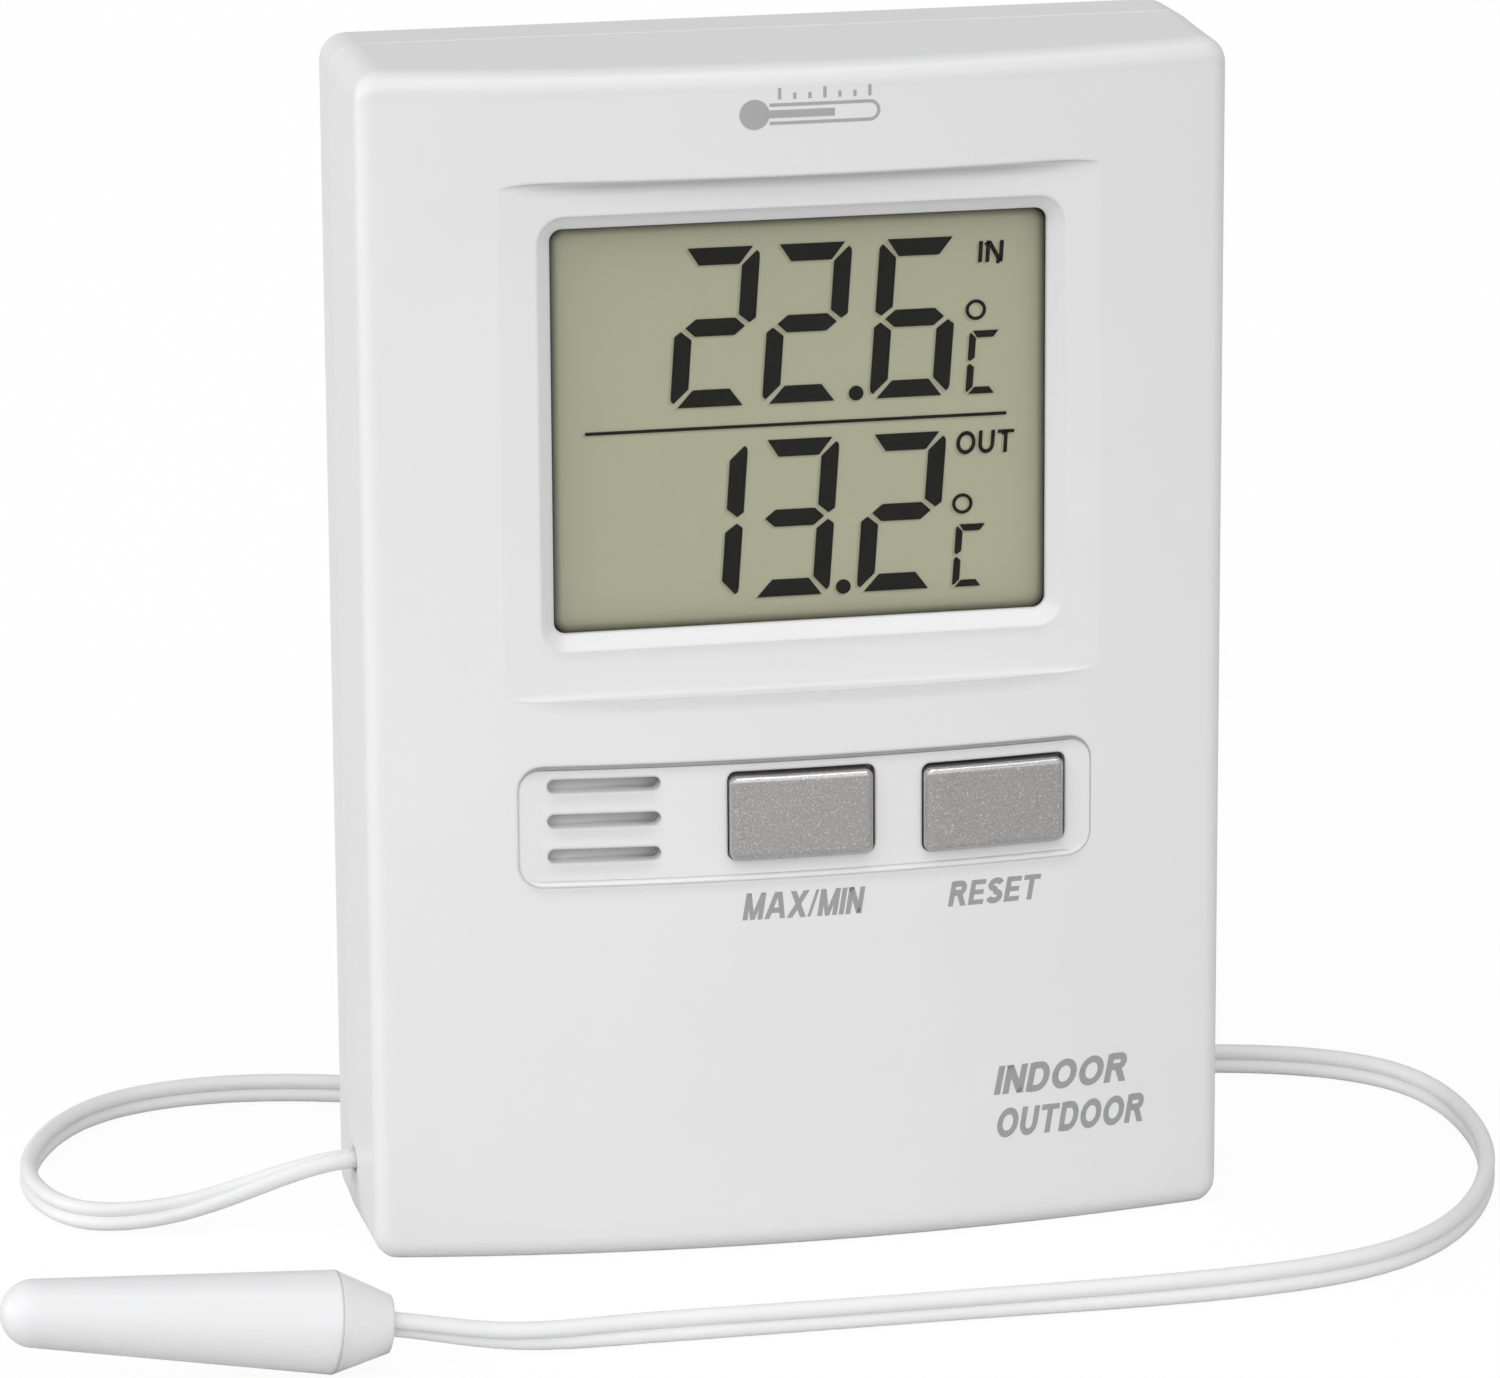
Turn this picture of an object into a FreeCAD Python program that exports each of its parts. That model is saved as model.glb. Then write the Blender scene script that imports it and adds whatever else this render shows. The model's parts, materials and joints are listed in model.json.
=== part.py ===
import FreeCAD, Part
import math
import os
import re

import Sketcher

# Maximum minimum thermometer with a wired outdoor probe, in millimetres.
# +Z is up, the display faces -Y, and the origin is the middle of the case's underside.

Vector = FreeCAD.Vector
Rotation = FreeCAD.Rotation

ALONG_X = Rotation(Vector(0, 1, 0), 90)
ALONG_Y = Rotation(Vector(1, 0, 0), -90)
ALONG_Z = Rotation()

# Driving dimensions: alias, value, what it is.
DIMENSIONS = [
    ("case_width", 70.3, "outside width of the case at the parting plane"),
    ("case_height", 97.0, "outside height of the case at the parting plane"),
    ("case_depth", 23.4, "depth from the crown of the face to the back"),
    ("parting_y", 4.0, "plane where the front and rear shells meet"),
    ("crown_radius", 163.0, "radius of the bowed face, about an upright axis"),
    ("wall", 1.8, "wall of the front shell"),
    ("back_wall", 1.6, "back wall of the rear shell"),
    ("side_wall", 2.7, "side wall of the rear shell, with its lip"),
    ("outline_round", 2.3, "corner radius of the outline"),
    ("draft", 1.1, "taper of both shells away from the parting plane, in degrees"),
    ("foot_trim", 0.5, "strip cut off below to leave a flat underside"),
    ("face_round", 1.7, "rounding between the face and the sides"),
    ("back_round", 1.6, "rounding between the back and the sides"),
    ("parting_bevel", 0.25, "bevel each side of the parting line"),
    ("lip_gap", 0.15, "clearance round the rear shell's lip"),
    ("lip_height", 1.2, "how far the lip enters the front shell"),
    ("flat_depth", 1.8, "depth of the flat round the display behind the crown"),
    ("flat_low", 46.3, "lower end of the flat"),
    ("flat_high", 88.0, "upper end of the flat"),
    ("flat_cove", 0.5, "hollow radius at both ends of the flat"),
    ("surround_half", 24.0, "half width of the block that holds the lens"),
    ("surround_low", 45.0, "lower end of the block that holds the lens"),
    ("surround_high", 90.0, "upper end of the block that holds the lens"),
    ("window_width", 39.95, "width of the window opening"),
    ("window_low", 51.36, "lower edge of the window opening"),
    ("window_high", 84.0, "upper edge of the window opening"),
    ("window_round", 1.0, "corner radius of the window opening"),
    ("window_bevel", 1.2, "sloping edge round the window"),
    ("window_wall", 1.6, "wall between the flat and the lens"),
    ("tape_thick", 0.15, "adhesive ring behind the window wall"),
    ("lens_width", 43.2, "width of the clear lens"),
    ("lens_low", 49.7, "lower edge of the lens"),
    ("lens_high", 85.9, "upper edge of the lens"),
    ("lens_thick", 1.0, "thickness of the lens"),
    ("film_thick", 0.15, "thickness of the polariser"),
    ("mirror_thick", 0.2, "thickness of the reflector"),
    ("glass_thick", 0.7, "thickness of each glass of the display"),
    ("glass_width", 43.0, "width of the display glass"),
    ("glass_low", 49.8, "lower edge of the front glass"),
    ("glass_high", 86.2, "upper edge of the front glass"),
    ("ledge", 2.0, "strip of front glass that carries the contacts"),
    ("frame_wall", 1.4, "wall of the display frame"),
    ("board_front", -3.4, "front face of the circuit board"),
    ("board_thick", 1.2, "thickness of the circuit board"),
    ("board_width", 54.0, "width of the circuit board"),
    ("board_low", 26.0, "lower edge of the circuit board"),
    ("board_high", 89.0, "upper edge of the circuit board"),
    ("blob_bow", 9.6, "radius of the bulge of the sealed chip"),
    ("blob_rise", 1.4, "how far the sealed chip bulges from the board"),
    ("sensor_radius", 1.2, "radius of each temperature sensor's bead"),
    ("post_x", 25.3, "board screws from the middle"),
    ("post_low", 29.5, "height of the lower board screws"),
    ("post_high", 86.0, "height of the upper board screws"),
    ("post_radius", 1.9, "radius of the board posts"),
    ("recess_left", -23.3, "left end of the key recess"),
    ("recess_right", 23.5, "right end of the key recess"),
    ("recess_low", 31.0, "lower edge of the key recess"),
    ("recess_high", 41.0, "upper edge of the key recess"),
    ("recess_round", 2.0, "corner radius of the key recess"),
    ("recess_depth", 0.4, "depth of the key recess"),
    ("vent_x", -16.4, "middle of the vent slots"),
    ("vent_low", 33.5, "height of the lowest vent slot"),
    ("vent_pitch", 2.88, "distance between vent slots"),
    ("vent_length", 9.0, "length of a vent slot"),
    ("vent_width", 1.15, "height of a vent slot"),
    ("vent_depth", 1.6, "depth of a vent slot below the key recess"),
    ("vent_backing", 0.9, "wall left behind the vent slots"),
    ("vent_margin", 1.2, "how far that wall reaches past the vent slots"),
    ("key_width", 11.65, "width of a key"),
    ("key_height", 6.9, "height of a key"),
    ("key_round", 0.6, "corner radius of a key"),
    ("key_soft", 0.55, "rounding of a key's front edges"),
    ("key_proud", 0.5, "how far a key stands out of the recess rim"),
    ("key_gap", 0.1, "gap round a key"),
    ("select_x", -0.65, "middle of the MAX/MIN key"),
    ("select_z", 36.2, "height of the MAX/MIN key"),
    ("reset_x", 15.25, "middle of the RESET key"),
    ("reset_z", 35.9, "height of the RESET key"),
    ("boss_x", 30.0, "case screws from the middle"),
    ("boss_low", 14.0, "height of the lower case screws"),
    ("boss_high", 91.5, "height of the upper case screws"),
    ("boss_radius", 2.6, "radius of the front bosses"),
    ("boss_split", 2.6, "plane where front and rear bosses meet"),
    ("screw_radius", 1.0, "radius of the case screw's shank"),
    ("screw_head", 1.9, "radius of the case screw's head"),
    ("screw_seat", 8.7, "plane under the case screws' heads"),
    ("cell_radius", 5.25, "radius of the AAA cell"),
    ("cell_length", 44.5, "length of the AAA cell with its nub"),
    ("cell_y", 4.7, "axis of the cell from the origin"),
    ("cell_z", 66.0, "height of the cell's axis"),
    ("cell_tip", 25.4, "place of the cell's nub"),
    ("tray_front", -1.6, "front of the battery tray"),
    ("tray_wall", 1.2, "walls of the battery tray at its ends and sides"),
    ("tray_floor", 0.8, "wall between the cell and the board"),
    ("tray_width", 52.8, "inside width of the battery tray"),
    ("tray_height", 11.6, "inside height of the battery tray"),
    ("door_width", 54.0, "width of the battery door"),
    ("door_low", 59.4, "lower edge of the battery door"),
    ("door_high", 72.6, "upper edge of the battery door"),
    ("door_thick", 1.5, "thickness of the battery door"),
    ("door_gap", 0.15, "gap round the battery door"),
    ("tab_x", 15.0, "middle of each door tab"),
    ("tab_width", 6.0, "width of a door tab"),
    ("stand_width", 26.0, "width of the table stand"),
    ("stand_thick", 2.4, "thickness of the table stand"),
    ("stand_low", 6.5, "lower end of the folded table stand"),
    ("stand_gap", 0.3, "gap between the table stand and the case"),
    ("hinge_y", 10.3, "hinge axis of the stand from the origin"),
    ("hinge_z", 50.0, "height of the stand's hinge axis"),
    ("hinge_pin", 0.9, "radius of the stand's hinge pins"),
    ("hinge_play", 0.06, "radial play of the hinge pins"),
    ("hinge_reach", 1.5, "how far a hinge pin enters the case"),
    ("stand_bay", 2.8, "depth of the bay that holds the stand"),
    ("hang_z", 86.0, "height of the keyhole's round end"),
    ("hang_radius", 3.5, "radius of the keyhole's round end"),
    ("hang_slot", 3.2, "width of the keyhole's slot"),
    ("hang_rise", 4.5, "length of the keyhole's slot"),
    ("strand_radius", 0.675, "radius of one strand of the twin cable"),
    ("strand_offset", 0.62, "strand centre from the cable's centre"),
    ("core_radius", 0.25, "radius of a copper core"),
    ("exit_y", 2.55, "cable exit from the origin"),
    ("exit_z", 5.3, "height of the cable exit"),
    ("notch_height", 2.0, "height of the cable notch"),
    ("probe_length", 26.0, "length of the probe's sleeve"),
    ("probe_big", 4.05, "radius of the sleeve's open end"),
    ("probe_small", 2.65, "radius of the sleeve's round tip"),
    ("probe_bore", 1.7, "radius of the bore inside the sleeve"),
    ("plug_length", 4.4, "length of the probe's cone-shaped plug"),
    ("plug_small", 2.3, "radius at the cable end of the plug"),
    ("plug_bore", 1.35, "radius of the plug's hole for the cable"),
]

doc = FreeCAD.newDocument("thermometer")
sheet = doc.addObject("Spreadsheet::Sheet", "Size")


def fill_sheet():
    """Put each driving dimension in the sheet, with its alias and its meaning."""
    for row, (alias, number, meaning) in enumerate(DIMENSIONS, start=1):
        sheet.set("A%d" % row, alias)
        sheet.set("B%d" % row, str(number))
        sheet.set("C%d" % row, meaning)
        sheet.setAlias("B%d" % row, alias)
    doc.recompute()


ALIASES = {alias for alias, number, meaning in DIMENSIONS}

# Planes that follow from the driving dimensions.
FRONT = "(-case_depth / 2)"
BACK = "(case_depth / 2)"
FLAT = "(-case_depth / 2 + flat_depth)"
VENT_FLOOR = "(-case_depth / 2 + recess_depth + vent_depth + vent_x^2 / (2 * crown_radius))"
TAPE = "(-case_depth / 2 + flat_depth + window_wall)"
LENS = "(-case_depth / 2 + flat_depth + window_wall + tape_thick)"
LENS_BACK = "(-case_depth / 2 + flat_depth + window_wall + tape_thick + lens_thick)"
FILM = "(-case_depth / 2 + flat_depth + window_wall + 2 * tape_thick + lens_thick)"
GLASS_1 = "(%s + film_thick)" % FILM
GLASS_2 = "(%s + film_thick + glass_thick)" % FILM
MIRROR = "(%s + film_thick + 2 * glass_thick)" % FILM
BOARD_BACK = "(board_front + board_thick)"
BACK_INSIDE = "(case_depth / 2 - back_wall)"
DOOR_INSIDE = "(case_depth / 2 - door_thick)"
BAY_INSIDE = "(case_depth / 2 - stand_bay - 1.4)"


def formula(text):
    """Point the plain aliases in a formula at the sheet."""
    return re.sub(r"[a-z]\w*", lambda word: "Size." + word[0] if word[0] in ALIASES else word[0],
                  str(text))


def number(text):
    """The present value of a formula."""
    value = sheet.evalExpression(formula(text))
    return float(getattr(value, "Value", value))


def bind(item, name, text):
    """Bind one property of an object to a formula."""
    item.setExpression(name, formula(text))


def bind_place(item, x, y, z):
    """Bind an object's place to three formulas."""
    for axis, text in zip("xyz", (x, y, z)):
        bind(item, "Placement.Base." + axis, text)


# Primitives and booleans --------------------------------------------------------------

def box(name, x, y, z):
    """A block between two formulas along each axis."""
    item = doc.addObject("Part::Box", name)
    for side, (low, high) in zip(("Length", "Width", "Height"), (x, y, z)):
        bind(item, side, "%s - (%s)" % (high, low))
    bind_place(item, x[0], y[0], z[0])
    return item


def cylinder(name, radius, length, place, turn=ALONG_Y):
    """A cylinder that starts at place and runs along the turned Z axis."""
    item = doc.addObject("Part::Cylinder", name)
    bind(item, "Radius", radius)
    bind(item, "Height", length)
    item.Placement = FreeCAD.Placement(Vector(), turn)
    bind_place(item, *place)
    return item


def cone(name, radius_1, radius_2, length, place, turn=ALONG_Y):
    """A cone from radius_1 to radius_2 along the turned Z axis."""
    item = doc.addObject("Part::Cone", name)
    bind(item, "Radius1", radius_1)
    bind(item, "Radius2", radius_2)
    bind(item, "Height", length)
    item.Placement = FreeCAD.Placement(Vector(), turn)
    bind_place(item, *place)
    return item


def fuse(name, items):
    """One solid from several that touch or overlap."""
    item = doc.addObject("Part::MultiFuse", name)
    item.Shapes = items
    return item


def group(name, items):
    """Several separate solids that share one node."""
    item = doc.addObject("Part::Compound", name)
    item.Links = items
    return item


def cut(name, base, tool):
    """Base without tool."""
    item = doc.addObject("Part::Cut", name)
    item.Base = base
    item.Tool = tool
    return item


def common(name, items):
    """What the items share."""
    item = doc.addObject("Part::MultiCommon", name)
    item.Shapes = items
    return item


# Sketches -----------------------------------------------------------------------------

def sketch_on(body, name, plane, offset):
    """An empty sketch on one of the body's own origin planes, moved along its normal."""
    sketch = body.newObject("Sketcher::SketchObject", name)
    support = [feature for feature in body.Origin.OriginFeatures if feature.Role == plane]
    sketch.AttachmentSupport = [(support[0], "")]
    sketch.MapMode = "FlatFace"
    bind(sketch, "AttachmentOffset.Base.z", offset)
    return sketch


def pin(sketch, kind, places, text):
    """Add a constraint whose value is a formula."""
    index = sketch.addConstraint(Sketcher.Constraint(kind, *places, number(text)))
    bind(sketch, "Constraints[%d]" % index, text)


def rectangle(body, name, plane, offset, x, y):
    """A rectangle between two formulas each way."""
    sketch = sketch_on(body, name, plane, offset)
    low_x, high_x = number(x[0]), number(x[1])
    low_y, high_y = number(y[0]), number(y[1])
    corners = [Vector(low_x, low_y), Vector(high_x, low_y), Vector(high_x, high_y), Vector(low_x, high_y)]
    for start in range(4):
        sketch.addGeometry(Part.LineSegment(corners[start], corners[(start + 1) % 4]))
    for start in range(4):
        sketch.addConstraint(Sketcher.Constraint("Coincident", start, 2, (start + 1) % 4, 1))
        sketch.addConstraint(Sketcher.Constraint("Horizontal" if start % 2 == 0 else "Vertical", start))
    pin(sketch, "DistanceX", (-1, 1, 0, 1), x[0])
    pin(sketch, "DistanceY", (-1, 1, 0, 1), y[0])
    pin(sketch, "DistanceX", (-1, 1, 2, 1), x[1])
    pin(sketch, "DistanceY", (-1, 1, 2, 1), y[1])
    return sketch


def rounded_rectangle(body, name, plane, offset, x, y, radius):
    """A rectangle between two formulas each way, with round corners."""
    sketch = sketch_on(body, name, plane, offset)
    low_x, high_x = number(x[0]), number(x[1])
    low_y, high_y = number(y[0]), number(y[1])
    bend = number(radius)
    centres = [(high_x - bend, low_y + bend), (high_x - bend, high_y - bend),
               (low_x + bend, high_y - bend), (low_x + bend, low_y + bend)]
    for quarter, (centre_x, centre_y) in enumerate(centres):
        circle = Part.Circle(Vector(centre_x, centre_y), Vector(0, 0, 1), bend)
        start = (quarter - 1) * math.pi / 2
        sketch.addGeometry(Part.ArcOfCircle(circle, start, start + math.pi / 2))
    for quarter in range(4):
        arc, following = sketch.Geometry[quarter], sketch.Geometry[(quarter + 1) % 4]
        sketch.addGeometry(Part.LineSegment(arc.EndPoint, following.StartPoint))
    for quarter in range(4):
        sketch.addConstraint(Sketcher.Constraint("Tangent", quarter, 2, quarter + 4, 1))
        sketch.addConstraint(Sketcher.Constraint("Tangent", quarter + 4, 2, (quarter + 1) % 4, 1))
        sketch.addConstraint(Sketcher.Constraint("Horizontal" if quarter % 2 else "Vertical", quarter + 4))
    for quarter in range(1, 4):
        sketch.addConstraint(Sketcher.Constraint("Equal", 0, quarter))
    pin(sketch, "Radius", (0,), radius)
    pin(sketch, "DistanceX", (-1, 1, 3, 3), "%s + %s" % (x[0], radius))
    pin(sketch, "DistanceY", (-1, 1, 3, 3), "%s + %s" % (y[0], radius))
    pin(sketch, "DistanceX", (-1, 1, 1, 3), "%s - %s" % (x[1], radius))
    pin(sketch, "DistanceY", (-1, 1, 1, 3), "%s - %s" % (y[1], radius))
    return sketch


def crown(body, name, offset, half_width, front, back, radius):
    """Seen from above: straight sides and back, and a front bowed about an upright axis."""
    sketch = sketch_on(body, name, "XY_Plane", offset)
    half, nose, rear, bow = number(half_width), number(front), number(back), number(radius)
    edge = nose + bow - math.sqrt(bow ** 2 - half ** 2)
    sketch.addGeometry(Part.LineSegment(Vector(-half, edge), Vector(-half, rear)))
    sketch.addGeometry(Part.LineSegment(Vector(-half, rear), Vector(half, rear)))
    sketch.addGeometry(Part.LineSegment(Vector(half, rear), Vector(half, edge)))
    sketch.addGeometry(Part.Arc(Vector(-half, edge), Vector(0, nose), Vector(half, edge)))
    for line in (0, 1):
        sketch.addConstraint(Sketcher.Constraint("Coincident", line, 2, line + 1, 1))
    sketch.addConstraint(Sketcher.Constraint("Coincident", 3, 1, 0, 1))
    sketch.addConstraint(Sketcher.Constraint("Coincident", 3, 2, 2, 2))
    sketch.addConstraint(Sketcher.Constraint("Vertical", 0))
    sketch.addConstraint(Sketcher.Constraint("Horizontal", 1))
    sketch.addConstraint(Sketcher.Constraint("Vertical", 2))
    sketch.addConstraint(Sketcher.Constraint("PointOnObject", 3, 3, -2))
    pin(sketch, "Radius", (3,), radius)
    pin(sketch, "DistanceX", (-1, 1, 1, 1), "-(%s)" % half_width)
    pin(sketch, "DistanceX", (-1, 1, 1, 2), half_width)
    pin(sketch, "DistanceY", (-1, 1, 1, 1), back)
    pin(sketch, "DistanceY", (-1, 1, 3, 3), "%s + %s" % (front, radius))
    return sketch


# Part design features -----------------------------------------------------------------

def new_body(name):
    """An empty body."""
    return doc.addObject("PartDesign::Body", name)


def feature(body, kind, sketch, length, backwards=False, midplane=False):
    """A Pad or a Pocket of a sketch; it has to change the body's volume."""
    before = body.Shape.Volume if body.Tip else 0.0
    item = body.newObject("PartDesign::" + kind, sketch.Name + "_" + kind.lower())
    item.Profile = sketch
    item.Reversed = backwards
    item.SideType = "Symmetric" if midplane else "One side"
    bind(item, "Length", length)
    sketch.Visibility = False
    doc.recompute()
    change = body.Shape.Volume - before
    if change * (1 if kind == "Pad" else -1) <= 0:
        raise ValueError("%s changes the volume the wrong way" % item.Name)
    return item


def pad(body, sketch, length, backwards=False, midplane=False):
    """Material along the sketch's normal."""
    return feature(body, "Pad", sketch, length, backwards, midplane)


def pocket(body, sketch, length, backwards=False, midplane=False):
    """A hole against the sketch's normal."""
    return feature(body, "Pocket", sketch, length, backwards, midplane)


def edges_where(item, test):
    """Names of the edges whose middle point passes a test."""
    names = []
    for index, edge in enumerate(item.Shape.Edges, start=1):
        middle = edge.valueAt((edge.FirstParameter + edge.LastParameter) / 2)
        if test(edge, middle):
            names.append("Edge%d" % index)
    return names


def soften(body, kind, names, size):
    """A Fillet or a Chamfer on the named edges of the body's last feature."""
    item = body.newObject("PartDesign::" + kind, "%s_%s_%d" % (body.Name, kind.lower(), len(body.Group)))
    item.Base = (body.Group[-2], names)
    bind(item, "Radius" if kind == "Fillet" else "Size", size)
    doc.recompute()
    return item


def near(one, other, within=0.01):
    """Whether two lengths agree."""
    return abs(one - other) < within


# The case -----------------------------------------------------------------------------

def front_shell():
    """The front shell: bowed face, side walls, display surround and bosses."""
    body = new_body("front_shell")
    tapered_block(body, "front_outline", "parting_y - (%s)" % FRONT)
    trim = crown(body, "face_trim", "-foot_trim - 1", "case_width / 2 + 1", FRONT, FRONT + " - 1",
                 "crown_radius")
    pocket(body, trim, "case_height + foot_trim + 2", backwards=True)
    last = body.Group[-1]
    soften(body, "Fillet", edges_where(last, is_face_edge), "face_round")
    last = body.Group[-1]
    soften(body, "Chamfer", edges_where(last, is_parting_edge), "parting_bevel")
    level_underside(body)
    inner = crown(body, "inside_outline", "wall", "case_width / 2 - wall", FRONT + " + wall",
                  "parting_y + 1", "crown_radius - wall")
    pocket(body, inner, "case_height - 2 * wall", backwards=True)
    surround = rectangle(body, "display_surround", "XZ_Plane", "-(%s)" % LENS_BACK,
                         ("-surround_half", "surround_half"), ("surround_low", "surround_high"))
    pad(body, surround, "%s - (%s)" % (LENS_BACK, FLAT))
    behind = rectangle(body, "vent_wall", "XZ_Plane", "-(%s + vent_backing)" % VENT_FLOOR,
                       around("vent_x", "vent_length", "vent_margin"),
                       ("vent_low - vent_width / 2 - vent_margin",
                        "vent_low + 2 * vent_pitch + vent_width / 2 + vent_margin"))
    pad(body, behind, "vent_backing + 0.4")
    add_bosses(body)
    flat = cove_profile(body)
    pocket(body, flat, "case_width", midplane=True)
    window = rounded_rectangle(body, "window", "XZ_Plane", "-(%s)" % FRONT,
                               ("-window_width / 2", "window_width / 2"),
                               ("window_low", "window_high"), "window_round")
    pocket(body, window, "flat_depth + window_wall + lens_thick")
    flat_y = number(FLAT)
    last = body.Group[-1]
    rim = edges_where(last, lambda edge, middle: near(middle.y, flat_y)
                      and abs(middle.x) < 20.1 and 51 < middle.z < 84.5)
    soften(body, "Chamfer", rim, "window_bevel")
    seat = rectangle(body, "lens_seat", "XZ_Plane", "-(%s)" % LENS_BACK,
                     ("-lens_width / 2 - 0.1", "lens_width / 2 + 0.1"), ("lens_low - 0.1", "lens_high + 0.1"))
    pocket(body, seat, "%s - (%s)" % (LENS_BACK, TAPE), backwards=True)
    add_face_openings(body)
    return body


def tapered_block(body, name, depth, backwards=False):
    """A block with the case's outline at the parting plane, smaller away from it."""
    outline = rounded_rectangle(body, name, "XZ_Plane", "-parting_y", span("case_width"),
                                ("-foot_trim", "case_height"), "outline_round")
    block = pad(body, outline, depth, backwards)
    bind(block, "TaperAngle", "-draft * 1 deg")
    doc.recompute()
    return block


def level_underside(body):
    """Cut the underside of a shell flat at the origin's height."""
    below = rectangle(body, "below", "XY_Plane", "0", span("case_width + 2"),
                      (FRONT + " - 1", BACK + " + 1"))
    pocket(body, below, "foot_trim + 1")


def is_face_edge(edge, middle):
    """The edges between the bowed face and the side walls."""
    half = number("case_width / 2")
    bow = number("crown_radius")
    face = number(FRONT) + bow - math.sqrt(bow ** 2 - min(abs(middle.x), half) ** 2)
    return near(middle.y, face, 0.05)


def is_parting_edge(edge, middle):
    """The edges of the outline at the parting plane."""
    return near(middle.y, number("parting_y"))


def add_bosses(body):
    """Bosses for the case screws and posts for the board screws, each with its hole."""
    places = [("%d * boss_x" % side, level) for side in (-1, 1) for level in ("boss_low", "boss_high")]
    for index, (x, z) in enumerate(places):
        boss = ring_sketch(body, "boss_%d" % index, "boss_split", x, z, "boss_radius")
        pad(body, boss, "boss_split - (%s) - 3.5" % FRONT)
    posts = [("%d * post_x" % side, level) for side in (-1, 1) for level in ("post_low", "post_high")]
    for index, (x, z) in enumerate(posts):
        post = ring_sketch(body, "post_%d" % index, "board_front", x, z, "post_radius")
        pad(body, post, "board_front - (%s) - 3.3" % FRONT)
    for index, (x, z) in enumerate(places):
        core = ring_sketch(body, "boss_core_%d" % index, "boss_split", x, z, "screw_radius")
        pocket(body, core, "8", backwards=True)
    for index, (x, z) in enumerate(posts):
        core = ring_sketch(body, "post_core_%d" % index, "board_front", x, z, "0.7")
        pocket(body, core, "3.2", backwards=True)


def ring_sketch(body, name, y, x, z, radius):
    """A circle on an upright plane facing the front."""
    sketch = sketch_on(body, name, "XZ_Plane", "-(%s)" % y)
    centre = Vector(number(x), number(z))
    sketch.addGeometry(Part.Circle(centre, Vector(0, 0, 1), number(radius)))
    pin(sketch, "Radius", (0,), radius)
    pin(sketch, "DistanceX", (-1, 1, 0, 3), x)
    pin(sketch, "DistanceY", (-1, 1, 0, 3), z)
    return sketch


def cove_profile(body):
    """Side view of the cut that makes the flat: coved at both ends, open to the front."""
    sketch = sketch_on(body, "flat_profile", "YZ_Plane", "0")
    out, flat = number(FRONT) - 2, number(FLAT)
    low, high, cove = number("flat_low"), number("flat_high"), number("flat_cove")
    sketch.addGeometry(Part.LineSegment(Vector(out, low), Vector(flat - cove, low)))
    lower = Part.Circle(Vector(flat - cove, low + cove), Vector(0, 0, 1), cove)
    sketch.addGeometry(Part.ArcOfCircle(lower, -math.pi / 2, 0))
    sketch.addGeometry(Part.LineSegment(Vector(flat, low + cove), Vector(flat, high - cove)))
    upper = Part.Circle(Vector(flat - cove, high - cove), Vector(0, 0, 1), cove)
    sketch.addGeometry(Part.ArcOfCircle(upper, 0, math.pi / 2))
    sketch.addGeometry(Part.LineSegment(Vector(flat - cove, high), Vector(out, high)))
    sketch.addGeometry(Part.LineSegment(Vector(out, high), Vector(out, low)))
    for piece in range(4):
        sketch.addConstraint(Sketcher.Constraint("Tangent", piece, 2, piece + 1, 1))
    sketch.addConstraint(Sketcher.Constraint("Coincident", 4, 2, 5, 1))
    sketch.addConstraint(Sketcher.Constraint("Coincident", 5, 2, 0, 1))
    sketch.addConstraint(Sketcher.Constraint("Horizontal", 0))
    sketch.addConstraint(Sketcher.Constraint("Vertical", 5))
    sketch.addConstraint(Sketcher.Constraint("Equal", 1, 3))
    pin(sketch, "Radius", (1,), "flat_cove")
    pin(sketch, "DistanceX", (-1, 1, 0, 1), "%s - 2" % FRONT)
    pin(sketch, "DistanceY", (-1, 1, 0, 1), "flat_low")
    pin(sketch, "DistanceY", (-1, 1, 4, 2), "flat_high")
    pin(sketch, "DistanceX", (-1, 1, 2, 1), FLAT)
    return sketch


def key_places():
    """Middle of each key: across and up."""
    return {"max_min": ("select_x", "select_z"), "reset": ("reset_x", "reset_z")}


def around(middle, size, gap="0"):
    """Low and high formulas of a span about its middle."""
    return ("%s - %s / 2 - %s" % (middle, size, gap), "%s + %s / 2 + %s" % (middle, size, gap))


def add_face_openings(body):
    """The vent slots, the key holes and the cable notch."""
    slot = rounded_rectangle(body, "vent", "XZ_Plane", "-(%s)" % FRONT, around("vent_x", "vent_length"),
                             around("vent_low", "vent_width"), "vent_width / 2.02")
    first = pocket(body, slot, "%s - (%s)" % (VENT_FLOOR, FRONT))
    row = body.newObject("PartDesign::LinearPattern", "vent_row")
    row.Originals = [first]
    row.Direction = (slot, ["V_Axis"])
    bind(row, "Length", "2 * vent_pitch")
    row.Occurrences = 3
    body.Tip = row
    doc.recompute()
    for name, (x, z) in key_places().items():
        hole = rounded_rectangle(body, name + "_hole", "XZ_Plane", "-(%s)" % FRONT,
                                 around(x, "key_width", "key_gap"), around(z, "key_height", "key_gap"),
                                 "key_round + key_gap")
        pocket(body, hole, "5")
    notch = rounded_rectangle(body, "cable_notch", "YZ_Plane", "-case_width / 2 - 1",
                              ("exit_y - 1.45", "parting_y + 2"), around("exit_z", "notch_height"),
                              "notch_height / 2.02")
    pocket(body, notch, "wall + 2", backwards=True)


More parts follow.
